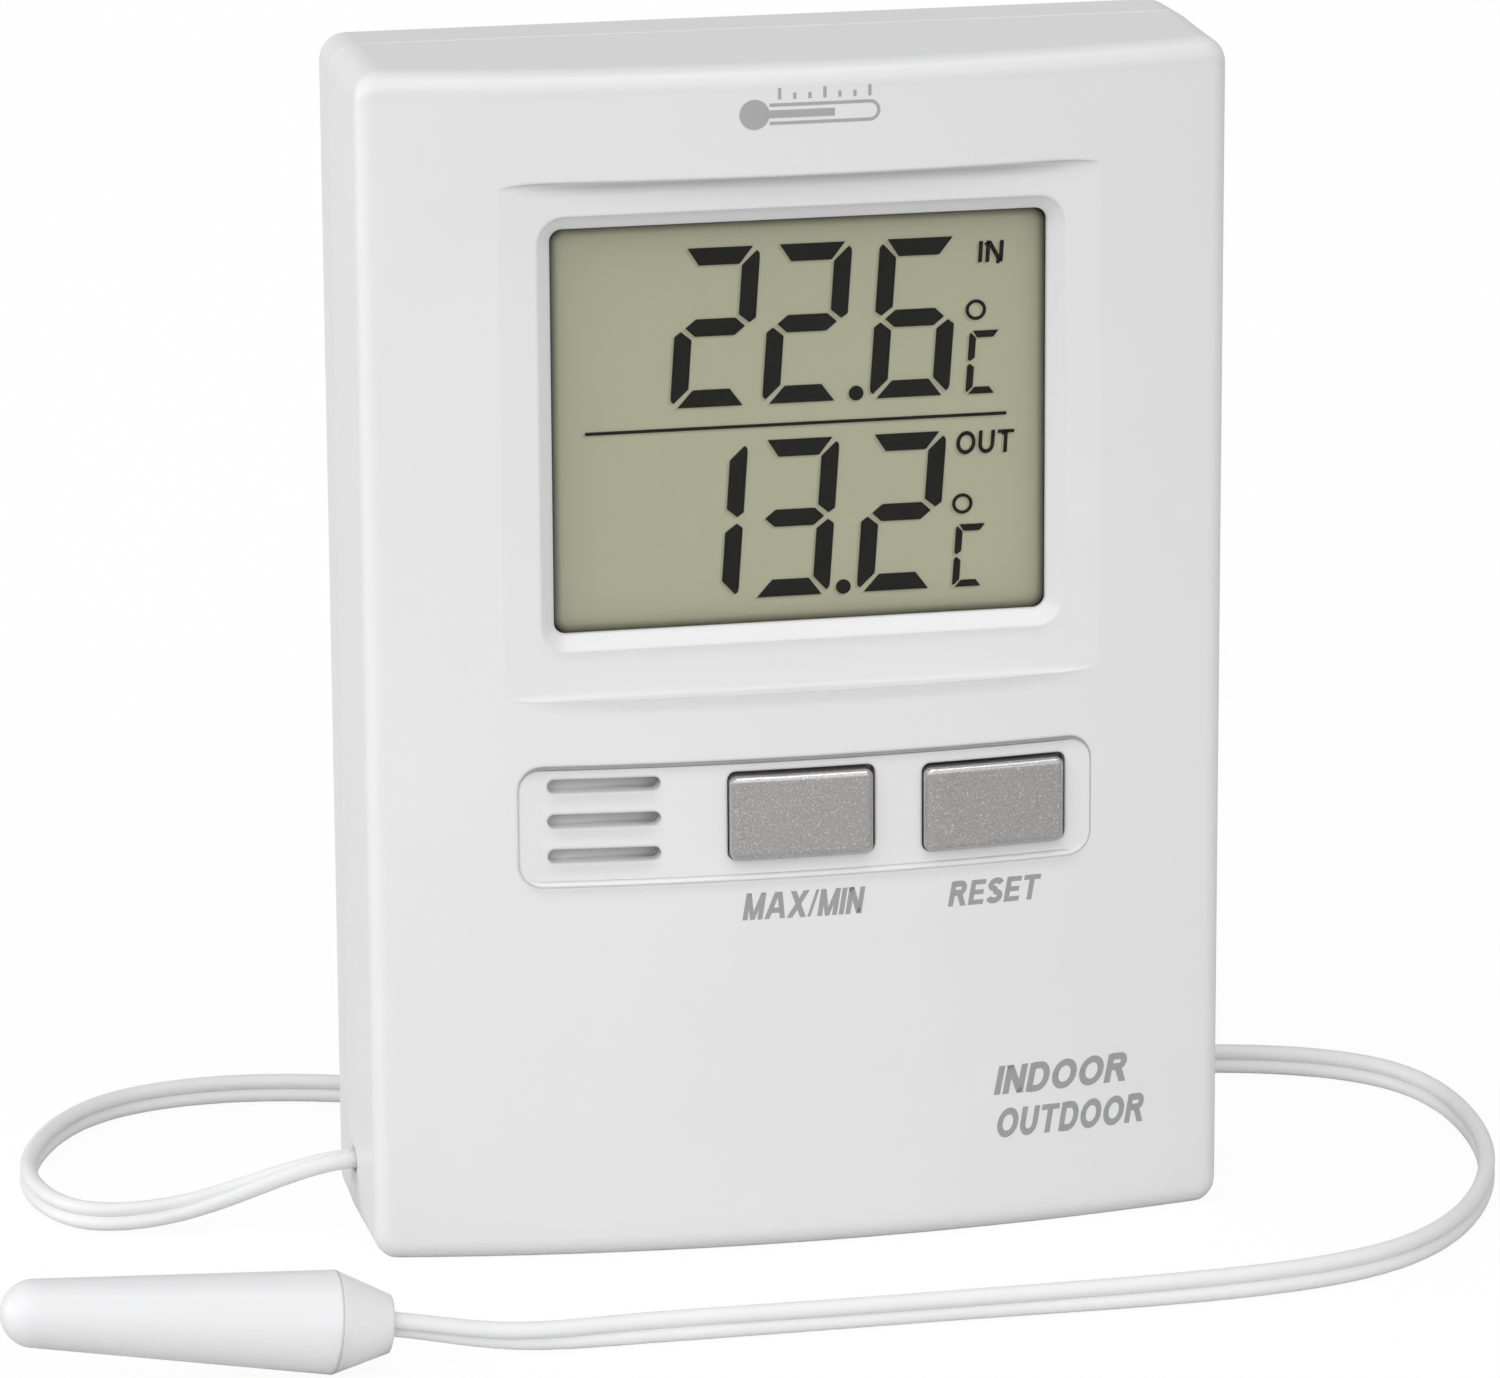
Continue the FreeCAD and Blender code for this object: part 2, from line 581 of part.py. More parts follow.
def front_case():
    """The front shell with the shallow recess that follows the bowed face."""
    tool = new_body("recess_tool")
    outline = rounded_rectangle(tool, "recess_outline", "XZ_Plane", "-(%s)" % FLAT,
                                ("recess_left", "recess_right"), ("recess_low", "recess_high"),
                                "recess_round")
    pad(tool, outline, "flat_depth + 2")
    keep = crown(tool, "recess_floor", "0", "case_width / 2", FRONT + " + recess_depth",
                 "parting_y", "crown_radius")
    pocket(tool, keep, "case_height", backwards=True)
    return cut("front_case", front_shell(), tool)


def rear_case():
    """The rear shell: lip, bosses, battery tray, stand bay and keyhole."""
    body = new_body("rear_case")
    tapered_block(body, "rear_outline", "%s - parting_y" % BACK, backwards=True)
    back = number(BACK)
    last = body.Group[-1]
    soften(body, "Fillet", edges_where(last, lambda edge, middle: near(middle.y, back)), "back_round")
    last = body.Group[-1]
    soften(body, "Chamfer", edges_where(last, is_parting_edge), "parting_bevel")
    level_underside(body)
    lip = rounded_rectangle(body, "lip", "XZ_Plane", "-(parting_y + 1)",
                            around("0", "case_width", "-(wall + lip_gap)"),
                            ("wall + lip_gap", "case_height - wall - lip_gap"), "outline_round - wall")
    pad(body, lip, "lip_height + 1")
    inside = rounded_rectangle(body, "rear_inside", "XZ_Plane", "-(parting_y - lip_height - 1)",
                               around("0", "case_width", "-side_wall - 0.05"),
                               ("side_wall + 0.05", "case_height - side_wall - 0.05"), "1")
    pocket(body, inside, "%s - parting_y + lip_height + 1" % BACK_INSIDE)
    add_tray_and_bay(body)
    add_rear_bosses(body)
    cut_back_openings(body)
    return body


def add_tray_and_bay(body):
    """Walls of the battery tray and the thick floor behind the stand."""
    tray = rectangle(body, "tray", "XZ_Plane", "-(%s)" % BACK_INSIDE,
                     around("0", "tray_width", "tray_wall"), around("cell_z", "tray_height", "tray_wall"))
    pad(body, tray, "%s - tray_front" % BACK_INSIDE)
    bay = rectangle(body, "bay_floor", "XZ_Plane", "-(%s)" % BACK_INSIDE,
                    around("0", "stand_width", "3.2"), ("side_wall", "hinge_z + 4.6"))
    pad(body, bay, "%s - (%s)" % (BACK_INSIDE, BAY_INSIDE))


def add_rear_bosses(body):
    """Bosses that meet the front ones, with a screw hole and a sunk seat for the head."""
    places = [("%d * boss_x" % side, level) for side in (-1, 1) for level in ("boss_low", "boss_high")]
    for index, (x, z) in enumerate(places):
        boss = ring_sketch(body, "rear_boss_%d" % index, BACK_INSIDE, x, z, "boss_radius")
        pad(body, boss, "%s - boss_split" % BACK_INSIDE)
        collar = ring_sketch(body, "rear_collar_%d" % index, BACK_INSIDE, x, z, "boss_radius + 0.7")
        pad(body, collar, "%s - screw_seat + 1.2" % BACK_INSIDE)
    for index, (x, z) in enumerate(places):
        hole = ring_sketch(body, "screw_hole_%d" % index, BACK, x, z, "screw_radius + 0.15")
        cut_from_back(body, hole, "%s - boss_split + 1" % BACK)
        seat = ring_sketch(body, "screw_seat_%d" % index, BACK, x, z, "screw_head + 0.2")
        cut_from_back(body, seat, "%s - screw_seat" % BACK)


def cut_from_back(body, sketch, depth):
    """A pocket that starts at the back face and runs forward."""
    return pocket(body, sketch, depth, backwards=True)


def cut_back_openings(body):
    """Everything that opens through the back: battery, door seat, stand bay and keyhole."""
    cell = rectangle(body, "cell_room", "XZ_Plane", "-(%s)" % BACK, around("0", "tray_width"),
                     around("cell_z", "tray_height"))
    cut_from_back(body, cell, "%s - tray_front - tray_floor" % BACK)
    door = rounded_rectangle(body, "door_seat", "XZ_Plane", "-(%s)" % BACK,
                             around("0", "door_width", "door_gap"),
                             ("door_low - door_gap", "door_high + door_gap"), "1.0")
    cut_from_back(body, door, "door_thick")
    for side in (-1, 1):
        slot = rectangle(body, "tab_slot_%d" % (side + 1), "XZ_Plane", "-(%s)" % DOOR_INSIDE,
                         around("%d * tab_x" % side, "tab_width", "0.25"),
                         ("door_low - 2.6", "door_low + 1.4"))
        cut_from_back(body, slot, "2.0")
    bay = rounded_rectangle(body, "stand_bay_cut", "XZ_Plane", "-(%s)" % BACK,
                            around("0", "stand_width", "stand_gap"),
                            ("stand_low - 1.5", "hinge_z + stand_thick / 2 + stand_gap"), "0.8")
    cut_from_back(body, bay, "stand_bay")
    grip = rounded_rectangle(body, "stand_grip", "XZ_Plane", "-(%s)" % BACK, ("-8", "8"),
                             ("stand_low - 3.2", "stand_low + 2"), "2.5")
    cut_from_back(body, grip, "stand_bay - 0.6")
    pins = sketch_on(body, "pin_bore", "YZ_Plane", "-(stand_width / 2 + hinge_reach + 0.2)")
    pins.addGeometry(Part.Circle(Vector(number("hinge_y"), number("hinge_z")), Vector(0, 0, 1), 1.0))
    pin(pins, "Radius", (0,), "hinge_pin + hinge_play")
    pin(pins, "DistanceX", (-1, 1, 0, 3), "hinge_y")
    pin(pins, "DistanceY", (-1, 1, 0, 3), "hinge_z")
    pocket(body, pins, "stand_width + 2 * hinge_reach + 0.4", backwards=True)
    head = ring_sketch(body, "keyhole", BACK, "0", "hang_z", "hang_radius")
    cut_from_back(body, head, "back_wall + 1")
    neck = rounded_rectangle(body, "keyhole_slot", "XZ_Plane", "-(%s)" % BACK, around("0", "hang_slot"),
                             ("hang_z", "hang_z + hang_rise"), "hang_slot / 2.02")
    cut_from_back(body, neck, "back_wall + 1")
    nail = rounded_rectangle(body, "nail_grip", "XZ_Plane", "-(%s)" % BACK, ("-6", "6"),
                             ("door_high - 1", "door_high + 3"), "1.9")
    cut_from_back(body, nail, "0.8")
    strips = rectangle(body, "contact_slots", "YZ_Plane", "-(tray_width / 2 + tray_wall + 1)",
                       around("cell_y", "0.8", "0.2"), around("cell_z", "3", "0.2"))
    pocket(body, strips, "tray_width + 2 * tray_wall + 2", backwards=True)
    cable = rectangle(body, "lip_notch", "XZ_Plane", "-(parting_y - lip_height - 1)",
                      ("-case_width / 2 - 1", "-case_width / 2 + side_wall + 1"),
                      around("exit_z", "notch_height", "0.1"))
    pocket(body, cable, "lip_height + 1")


# The window and the display -----------------------------------------------------------

def span(width):
    """Low and high formulas of a span centred on the middle plane."""
    return ("-(%s) / 2" % width, "(%s) / 2" % width)


def window_pieces():
    """The clear lens and the adhesive ring that holds it."""
    lens = box("window_lens", span("lens_width"), (LENS, LENS_BACK), ("lens_low", "lens_high"))
    ring = box("tape_ring", span("lens_width"), (TAPE, LENS), ("lens_low", "lens_high"))
    hole = box("tape_hole", span("window_width + 0.6"), (TAPE + " - 1", LENS + " + 1"),
               ("window_low - 0.3", "window_high + 0.3"))
    return [lens, cut("lens_adhesive", ring, hole)]


def display_pieces():
    """Polariser, two glasses, reflector, contact strips and the frame round them."""
    upper = ("glass_low", "glass_high")
    lower = ("glass_low + ledge", "glass_high - ledge")
    film = box("front_polariser", span("glass_width - 0.4"), (FILM, GLASS_1),
               ("glass_low + 0.2", "glass_high - 0.2"))
    front = box("lcd_front_glass", span("glass_width"), (GLASS_1, GLASS_2), upper)
    rear = box("lcd_rear_glass", span("glass_width"), (GLASS_2, MIRROR), lower)
    mirror = box("rear_reflector", span("glass_width - 0.4"), (MIRROR, MIRROR + " + mirror_thick"),
                 ("glass_low + ledge + 0.2", "glass_high - ledge - 0.2"))
    strips = group("zebra_strips", [
        box("zebra_low", span("glass_width - 4"), (GLASS_2, "board_front"),
            ("glass_low + 0.1", "glass_low + ledge - 0.2")),
        box("zebra_high", span("glass_width - 4"), (GLASS_2, "board_front"),
            ("glass_high - ledge + 0.2", "glass_high - 0.1"))])
    ring = box("frame_ring", span("glass_width + 0.3 + 2 * frame_wall"), (FILM + " + 0.05", "board_front"),
               ("glass_low - 0.15 - frame_wall", "glass_high + 0.15 + frame_wall"))
    room = box("frame_room", span("glass_width + 0.3"), (FILM + " - 1", "board_front + 1"),
               ("glass_low - 0.15", "glass_high + 0.15"))
    return [film, front, rear, mirror, strips, cut("lcd_frame", ring, room)]


# The circuit board --------------------------------------------------------------------

def post_places():
    """Middle of each board screw: across and up."""
    return [("%d * post_x" % side, level) for side in (-1, 1) for level in ("post_low", "post_high")]


def main_board():
    """The circuit board with its screw holes."""
    blank = box("board_blank", span("board_width"), ("board_front", BOARD_BACK), ("board_low", "board_high"))
    holes = [cylinder("board_hole_%d" % index, "1.0", "board_thick + 2", (x, "board_front - 1", z))
             for index, (x, z) in enumerate(post_places())]
    return cut("main_pcb", blank, fuse("board_holes", holes))


def screw(name, x, z, head_y, head, head_thick, shank, shank_length):
    """A round-headed screw driven towards the front, with a cross slot in its head."""
    top = cone(name + "_head", head, "%s * 0.8" % head, head_thick, (x, head_y, z))
    stem = cylinder(name + "_stem", shank, "%s + 0.2" % shank_length,
                    (x, "%s - %s" % (head_y, shank_length), z))
    tall = box(name + "_slot_a", ("%s - 0.2" % x, "%s + 0.2" % x),
               ("%s + %s * 0.5" % (head_y, head_thick), "%s + %s + 1" % (head_y, head_thick)),
               ("%s - %s * 0.6" % (z, head), "%s + %s * 0.6" % (z, head)))
    wide = box(name + "_slot_b", ("%s - %s * 0.6" % (x, head), "%s + %s * 0.6" % (x, head)),
               ("%s + %s * 0.5" % (head_y, head_thick), "%s + %s + 1" % (head_y, head_thick)),
               ("%s - 0.2" % z, "%s + 0.2" % z))
    return cut(name, fuse(name + "_blank", [top, stem]), fuse(name + "_cross", [tall, wide]))


def fasteners():
    """The board screws and the case screws, each set in one node."""
    board = [screw("board_screw_%d" % index, x, z, BOARD_BACK, "1.6", "1.0", "0.7", "4.2")
             for index, (x, z) in enumerate(post_places())]
    places = [("%d * boss_x" % side, level) for side in (-1, 1) for level in ("boss_low", "boss_high")]
    case = [screw("case_screw_%d" % index, x, z, "screw_seat", "screw_head", "1.4", "screw_radius", "12")
            for index, (x, z) in enumerate(places)]
    return [group("pcb_screws", board), group("case_screws", case)]


def chip_row(name, places, length, thickness, width):
    """Equal surface-mounted parts on the back of the board."""
    return [box("%s_%d" % (name, index), (str(x), "%d + %s" % (x, length)),
                (BOARD_BACK, "%s + %s" % (BOARD_BACK, thickness)), (str(z), "%d + %s" % (z, width)))
            for index, (x, z) in enumerate(places)]


def electronics():
    """The parts soldered to the board, and the sensor behind the vent slots."""
    ball = doc.addObject("Part::Sphere", "blob_ball")
    bind(ball, "Radius", "blob_bow")
    bind_place(ball, "2", BOARD_BACK + " + blob_rise - blob_bow", "46")
    half = box("blob_half", ("-6", "10"), (BOARD_BACK, BOARD_BACK + " + 2"), ("38", "54"))
    can = cylinder("crystal_can", "1.0", "6", ("-12", BOARD_BACK + " + 1.05", "40"), ALONG_Z)
    legs = [box("crystal_leg_%d" % index, around(x, "0.24"), (BOARD_BACK, BOARD_BACK + " + 1.2"),
                ("39.6", "40.2")) for index, x in enumerate(("-12.4", "-11.6"))]
    caps = chip_row("capacitor", ((-20, 52), (-20, 48), (14, 52), (14, 34)), "2.0", "0.9", "1.25")
    chips = chip_row("resistor", ((-20, 44), (14, 44), (14, 40), (19, 40)), "1.6", "0.45", "0.8")
    bead = doc.addObject("Part::Sphere", "room_bead")
    bind(bead, "Radius", "sensor_radius")
    level = "vent_low + vent_pitch"
    bind_place(bead, "vent_x", "board_front - 3.0", level)
    leads = [cylinder("room_lead_%d" % index, "0.25", "3.0", (x, "board_front - 3.0", level))
             for index, x in enumerate(("vent_x - 0.7", "vent_x + 0.7"))]
    return [common("chip_blob", [ball, half]), fuse("quartz_crystal", [can] + legs),
            group("chip_capacitors", caps), group("chip_resistors", chips),
            fuse("room_thermistor", [bead] + leads)]


# The keys -----------------------------------------------------------------------------

STEM_BACK = "(board_front - 3.2)"
DOME_TOP = "(board_front - 3.15)"
DOME_ROOF = "(board_front - 2.4)"
PILL_FRONT = "(board_front - 1.3)"
SHEET_THICK = "0.8"


def key(name, x, z):
    """A rigid key: bowed front with soft edges, a flange behind the face and a stem."""
    body = new_body(name)
    flange = "(%s + wall + (abs(%s) + key_width / 2 + 0.8)^2 / (2 * crown_radius) + 0.25)" % (FRONT, x)
    cap = rounded_rectangle(body, name + "_cap", "XZ_Plane", "-%s" % flange, around(x, "key_width"),
                            around(z, "key_height"), "key_round")
    pad(body, cap, "%s - (%s) + 3" % (flange, FRONT))
    trim = crown(body, name + "_trim", "0", "case_width / 2", FRONT + " - key_proud", FRONT + " - 5",
                 "crown_radius")
    pocket(body, trim, "case_height", backwards=True)
    last = body.Group[-1]
    bow, nose = number("crown_radius"), number(FRONT + " - key_proud")
    rim = edges_where(last, lambda edge, middle: near(
        middle.y, nose + bow - math.sqrt(bow ** 2 - middle.x ** 2), 0.05))
    soften(body, "Fillet", rim, "key_soft")
    plate = rectangle(body, name + "_flange", "XZ_Plane", "-(%s + 0.8)" % flange,
                      around(x, "key_width", "0.8"), around(z, "key_height", "0.8"))
    pad(body, plate, "0.8")
    stem = rectangle(body, name + "_stem", "XZ_Plane", "-(%s)" % STEM_BACK,
                     around(x, "5"), around(z, "3.6"))
    pad(body, stem, "%s - %s - 0.4" % (STEM_BACK, flange))
    return body


def pill(name, x, z):
    """The conductive disc that a key presses on the board."""
    return cylinder(name, "1.4", "0.4", (x, PILL_FRONT, z))


def keypad():
    """The rubber sheet with a collapsing dome and a plunger under each key."""
    sheet_low = box("keypad_sheet", ("select_x - 6", "reset_x + 6"),
                    ("board_front - %s" % SHEET_THICK, "board_front"), ("reset_z - 4.6", "select_z + 4.4"))
    shells, hollows, plungers = [sheet_low], [], []
    for name, (x, z) in key_places().items():
        shells.append(cone(name + "_dome", "3.9", "3.0", "board_front - %s - %s" % (SHEET_THICK, DOME_TOP),
                           (x, "board_front - %s" % SHEET_THICK, z), Rotation(Vector(1, 0, 0), 90)))
        hollows.append(cone(name + "_hollow", "3.2", "2.3", "board_front - %s + 0.001" % DOME_ROOF,
                            (x, "board_front + 0.001", z), Rotation(Vector(1, 0, 0), 90)))
        plungers.append(cylinder(name + "_plunger", "1.4", "%s - %s + 0.3" % (PILL_FRONT, DOME_ROOF),
                                 (x, DOME_ROOF + " - 0.3", z)))
    skin = cut("keypad_skin", fuse("keypad_shells", shells), fuse("keypad_hollows", hollows))
    return fuse("rubber_keypad", [skin] + plungers)


def key_pieces():
    """Both keys, the rubber under them and their contact discs."""
    places = key_places()
    return [key("max_min_button", *places["max_min"]), key("reset_button", *places["reset"]), keypad(),
            pill("max_min_contact_pill", *places["max_min"]), pill("reset_contact_pill", *places["reset"])]


# Battery, door and stand --------------------------------------------------------------

def battery_pieces():
    """The cell, its two contacts and the wires to the board."""
    start = "cell_tip - cell_length"
    can = cylinder("cell_can", "cell_radius", "cell_length - 1.0", (start, "cell_y", "cell_z"), ALONG_X)
    nub = cylinder("cell_nub", "1.9", "2", ("cell_tip - 2", "cell_y", "cell_z"), ALONG_X)
    plate = box("plus_plate", ("cell_tip", "cell_tip + 0.4"), around("cell_y", "8"), around("cell_z", "8"))
    lug = box("plus_lug", ("cell_tip", "tray_width / 2 + tray_wall + 1.2"), around("cell_y", "0.8"),
              around("cell_z", "3"))
    back_plate = box("minus_plate", ("-tray_width / 2 + 0.1", "-tray_width / 2 + 0.5"), around("cell_y", "8"),
                     around("cell_z", "8"))
    back_lug = box("minus_lug", ("-tray_width / 2 - tray_wall - 1.2", "-tray_width / 2 + 0.5"),
                   around("cell_y", "0.8"), around("cell_z", "3"))
    spring = fuse("battery_negative_spring", [spring_coil(), back_plate, back_lug])
    return [fuse("battery_cell", [can, nub]), fuse("battery_positive_contact", [plate, lug]), spring,
            wire("battery_wire_red", 1), wire("battery_wire_black", -1)]


def shaped(name, shape):
    """A piece whose shape comes straight from a curve."""
    item = doc.addObject("Part::Feature", name)
    item.Shape = shape
    return item


def spring_coil():
    """The cone-shaped spring between its plate and the cell's flat end."""
    foot = number("-tray_width / 2 + 0.3")
    wire_radius = 0.35
    height = number("cell_tip - cell_length") - foot - wire_radius
    coil = Part.makeHelix(height / 4, height, 3.6, -12)
    section = Part.Wire(Part.Circle(Vector(3.6, 0, 0), Vector(0, 1, 0), wire_radius).toShape())
    solid = Part.Wire(coil).makePipeShell([section], True, True)
    solid.Placement = FreeCAD.Placement(Vector(foot, number("cell_y"), number("cell_z")), ALONG_X)
    return shaped("spring_coil", solid)


def wire(name, side):
    """A thin wire from a contact's lug down to the board."""
    lug_end = number("tray_width / 2 + tray_wall + 0.9")
    across, axis_z, board = number("cell_y"), number("cell_z"), number(BOARD_BACK)
    points = [Vector(lug_end, across, axis_z - 1.8), Vector(lug_end + 0.8, across - 2.4, axis_z - 6),
              Vector(lug_end - 0.8, across - 4.4, axis_z - 10), Vector(24.5, board + 1.4, axis_z - 12),
              Vector(23.0, board + 0.4, axis_z - 14)]
    points = [Vector(side * point.x, point.y, point.z) for point in points]
    path = Part.BSplineCurve()
    path.interpolate(points)
    section = Part.Wire(Part.Circle(points[0], path.tangent(path.FirstParameter)[0], 0.45).toShape())
    return shaped(name, Part.Wire(path.toShape()).makePipeShell([section], True, True))


def battery_door():
    """A flush plate with two tabs under its lower sill and finger grooves near its top."""
    body = new_body("battery_door")
    plate = rounded_rectangle(body, "door_plate", "XZ_Plane", "-(%s)" % BACK, span("door_width"),
                              ("door_low", "door_high"), "0.9")
    pad(body, plate, "door_thick", backwards=False)
    for side in (-1, 1):
        leg = rectangle(body, "tab_leg_%d" % (side + 1), "XZ_Plane", "-(%s + 0.3)" % DOOR_INSIDE,
                        around("%d * tab_x" % side, "tab_width"), ("door_low + 0.1", "door_low + 1.2"))
        pad(body, leg, "1.7")
        tongue = rectangle(body, "tab_tongue_%d" % (side + 1), "XZ_Plane", "-(%s - 0.3)" % DOOR_INSIDE,
                           around("%d * tab_x" % side, "tab_width"), ("door_low - 1.8", "door_low + 1.2"))
        pad(body, tongue, "1.1")
    groove = rounded_rectangle(body, "door_groove", "XZ_Plane", "-(%s)" % BACK, span("10"),
                               ("door_high - 2.6", "door_high - 2.0"), "0.29")
    first = pocket(body, groove, "0.4", backwards=True)
    row = body.newObject("PartDesign::LinearPattern", "door_grooves")
    row.Originals = [first]
    row.Direction = (groove, ["V_Axis"])
    row.Reversed = True
    bind(row, "Length", "4.8")
    row.Occurrences = 4
    body.Tip = row
    doc.recompute()
    return body


def table_stand():
    """The fold-out leg: a window in its middle, a round top edge and two hinge pins."""
    leg = box("stand_leg", span("stand_width"), around("hinge_y", "stand_thick"), ("stand_low", "hinge_z"))
    window = box("stand_window", span("stand_width - 12"), around("hinge_y", "stand_thick", "1"),
                 ("stand_low + 7", "hinge_z - 8"))
    knuckle = cylinder("stand_knuckle", "stand_thick / 2", "stand_width",
                       ("-stand_width / 2", "hinge_y", "hinge_z"), ALONG_X)
    pins = cylinder("stand_pins", "hinge_pin", "stand_width + 2 * hinge_reach",
                    ("-stand_width / 2 - hinge_reach", "hinge_y", "hinge_z"), ALONG_X)
    return fuse("table_stand", [cut("stand_frame", leg, window), knuckle, pins])


# The probe and its cable --------------------------------------------------------------

PROBE_END = Vector(-42.3, -33.2, 4.05)
PROBE_AXIS = Vector(-23.7, -1.3, 3.0).normalize()


def on_probe(item):
    """Move a piece from the local axis, Z from the sleeve's open end, to the probe's place."""
    item.Placement = FreeCAD.Placement(PROBE_END, Rotation(Vector(0, 0, 1), PROBE_AXIS))
    return item


def origin_cone(name, radius_1, radius_2, start, length):
    """A cone on the local Z axis."""
    return cone(name, radius_1, radius_2, length, ("0", "0", start), ALONG_Z)


def probe_pieces():
    """Sleeve, plug, the sensor bead and the filling round it."""
    shank = "(probe_length - probe_small)"
    outer = origin_cone("sleeve_cone", "probe_big", "probe_small", "0", shank)
    tip = doc.addObject("Part::Sphere", "sleeve_tip")
    bind(tip, "Radius", "probe_small")
    bind_place(tip, "0", "0", shank)
    bore = cylinder("sleeve_bore", "probe_bore", shank + " + 1", ("0", "0", "-1"), ALONG_Z)
    sleeve = cut("probe_sleeve", fuse("sleeve_blank", [outer, tip]), bore)
    bead = doc.addObject("Part::Sphere", "probe_bead")
    bind(bead, "Radius", "sensor_radius")
    bind_place(bead, "0", "0", shank + " - 2")
    bead_hole = doc.addObject("Part::Sphere", "bead_hole")
    bind(bead_hole, "Radius", "sensor_radius")
    bind_place(bead_hole, "0", "0", shank + " - 2")
    fill = cylinder("potting_blank", "probe_bore", shank + " - 0.6", ("0", "0", "0.6"), ALONG_Z)
    potting = cut("probe_potting", fill, bead_hole)
    taper = origin_cone("plug_cone", "plug_small", "probe_big", "-plug_length", "plug_length")
    hole = cylinder("plug_hole", "plug_bore", "plug_length + 2", ("0", "0", "-plug_length - 1"), ALONG_Z)
    plug = cut("probe_plug", taper, hole)
    thermistor = group("probe_thermistor", [bead])
    return [on_probe(sleeve), on_probe(potting), on_probe(plug), on_probe(thermistor)]


def cable_route():
    """Middle of the cable and, at each point, the way from one strand to the other."""
    rest = number("strand_radius + strand_offset + 0.02")
    out = -number("case_width") / 2
    depth, level = number("exit_y"), number("exit_z")
    across, sideways, upright = Vector(1, 0, 0), Vector(0, 1, 0), Vector(0, 0, 1)
    inside = [(Vector(-18, -1.3, 32), across), (Vector(-18.6, -1.0, 24), across),
              (Vector(-21.5, 1.2, 12), Vector(0.8, 0.6, 0)), (Vector(out + 7, depth, level + 0.3), sideways)]
    left = [(Vector(out, depth, level), sideways), (Vector(-42, 2.6, 3.95), Vector(0, 0.9, 0.4)),
            (Vector(-50, 3.0, 1.8), Vector(0, 0.4, 0.9))]
    left += [(Vector(x, y, rest), upright) for x, y in
             ((-56.6, 4.5), (-60.2, 11.6), (-58.9, 22.3), (-51.4, 32.9), (-40.7, 35.4))]
    behind = [(Vector(x, y, rest), upright) for x, y in ((-25, 31), (10, 24), (43.8, 25.3))]
    right = [(Vector(x, y, rest), upright) for x, y in
             ((56.7, 17.9), (59.8, 4.6), (56.3, -12.6), (44.7, -27.7), (28.7, -31.9))]
    leaning = Vector(0, -0.2, 0.98)
    front = [(Vector(x, -32.2, rest), leaning) for x in (12, -5, -20)]
    front.append((Vector(-28.5, -32.4, rest + 0.3), Vector(0, -0.5, 0.87)))
    plug = number("plug_length")
    flat_turn = Vector(0, -0.66, 0.75)
    ends = [(PROBE_END - PROBE_AXIS * plug, flat_turn), (PROBE_END - PROBE_AXIS * 0.4, flat_turn)]
    return inside + left + behind + right + front + ends


def swept(route, path, sections):
    """Sweep closed sections along the route, turning with the strands."""
    guide = Part.BSplineCurve()
    stations = [path.parameter(place) for place, turn in route]
    guide.interpolate([place + turn.normalize() * 3 for place, turn in route], Parameters=stations)
    solids = []
    for section in sections:
        maker = Part.BRepOffsetAPI.MakePipeShell(Part.Wire(path.toShape()))
        maker.setAuxiliarySpine(Part.Wire(guide.toShape()), True, 0)
        maker.add(section)
        maker.build()
        maker.makeSolid()
        solids.append(maker.shape())
    return solids


def cable_pieces():
    """The twin insulation and the two copper cores in it."""
    route = cable_route()
    path = Part.BSplineCurve()
    path.interpolate([place for place, turn in route])
    start = route[0][0]
    along = path.tangent(path.FirstParameter)[0]
    side = (route[0][1] - along * route[0][1].dot(along)).normalize()
    up = along.cross(side)
    radius, offset = number("strand_radius"), number("strand_offset")
    waist = up * math.sqrt(radius ** 2 - offset ** 2)
    halves = [Part.Arc(start + waist, start + side * (offset + radius), start - waist).toShape(),
              Part.Arc(start - waist, start - side * (offset + radius), start + waist).toShape()]
    cores = [Part.Wire(Part.Circle(start + side * offset * way, along, number("core_radius")).toShape())
             for way in (1, -1)]
    skin = shaped("cable_skin", swept(route, path, [Part.Wire(halves)])[0])
    copper = shaped("cable_cores", Part.makeCompound(swept(route, path, cores)))
    copper_tool = shaped("core_holes", copper.Shape)
    insulation = cut("probe_cable", skin, copper_tool)
    collar = box("collar_blank", ("-case_width / 2 + side_wall + 0.1", "-case_width / 2 + side_wall + 1.5"),
                 around("exit_y", "4.4"), around("exit_z", "3.8"))
    skin_tool = shaped("collar_hole", skin.Shape)
    return [insulation, copper, cut("cable_clamp", collar, skin_tool)]


# Checks and files ---------------------------------------------------------------------

def build():
    """Make every piece; each one's label is its node's name."""
    fill_sheet()
    pieces = [front_case(), rear_case()]
    pieces += window_pieces() + display_pieces()
    pieces += [main_board()] + fasteners() + electronics()
    pieces += key_pieces() + battery_pieces()
    pieces += [battery_door(), table_stand()]
    pieces += probe_pieces() + cable_pieces()
    doc.recompute()
    return pieces


def check(pieces):
    """Stop if any object failed or any piece is not sound."""
    failed = [item.Name for item in doc.Objects if "Invalid" in item.State or "Error" in item.State]
    if failed:
        raise ValueError("objects that failed: %s" % ", ".join(failed))
    for piece in pieces:
        if piece.Shape.isNull() or not piece.Shape.isValid() or not piece.Shape.Solids:
            raise ValueError("%s has no sound solid" % piece.Label)


def write(pieces):
    """Write each piece to a file of its own."""
    os.makedirs("parts", exist_ok=True)
    for piece in pieces:
        piece.Shape.exportStep("parts/%s.step" % piece.Label)


made = build()
check(made)
write(made)
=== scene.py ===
"""Looks of the maximum minimum thermometer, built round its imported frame.

Metres, +Z up, the display faces -Y.
"""
import json
import math

import bmesh
import bpy
from mathutils import Matrix, Vector


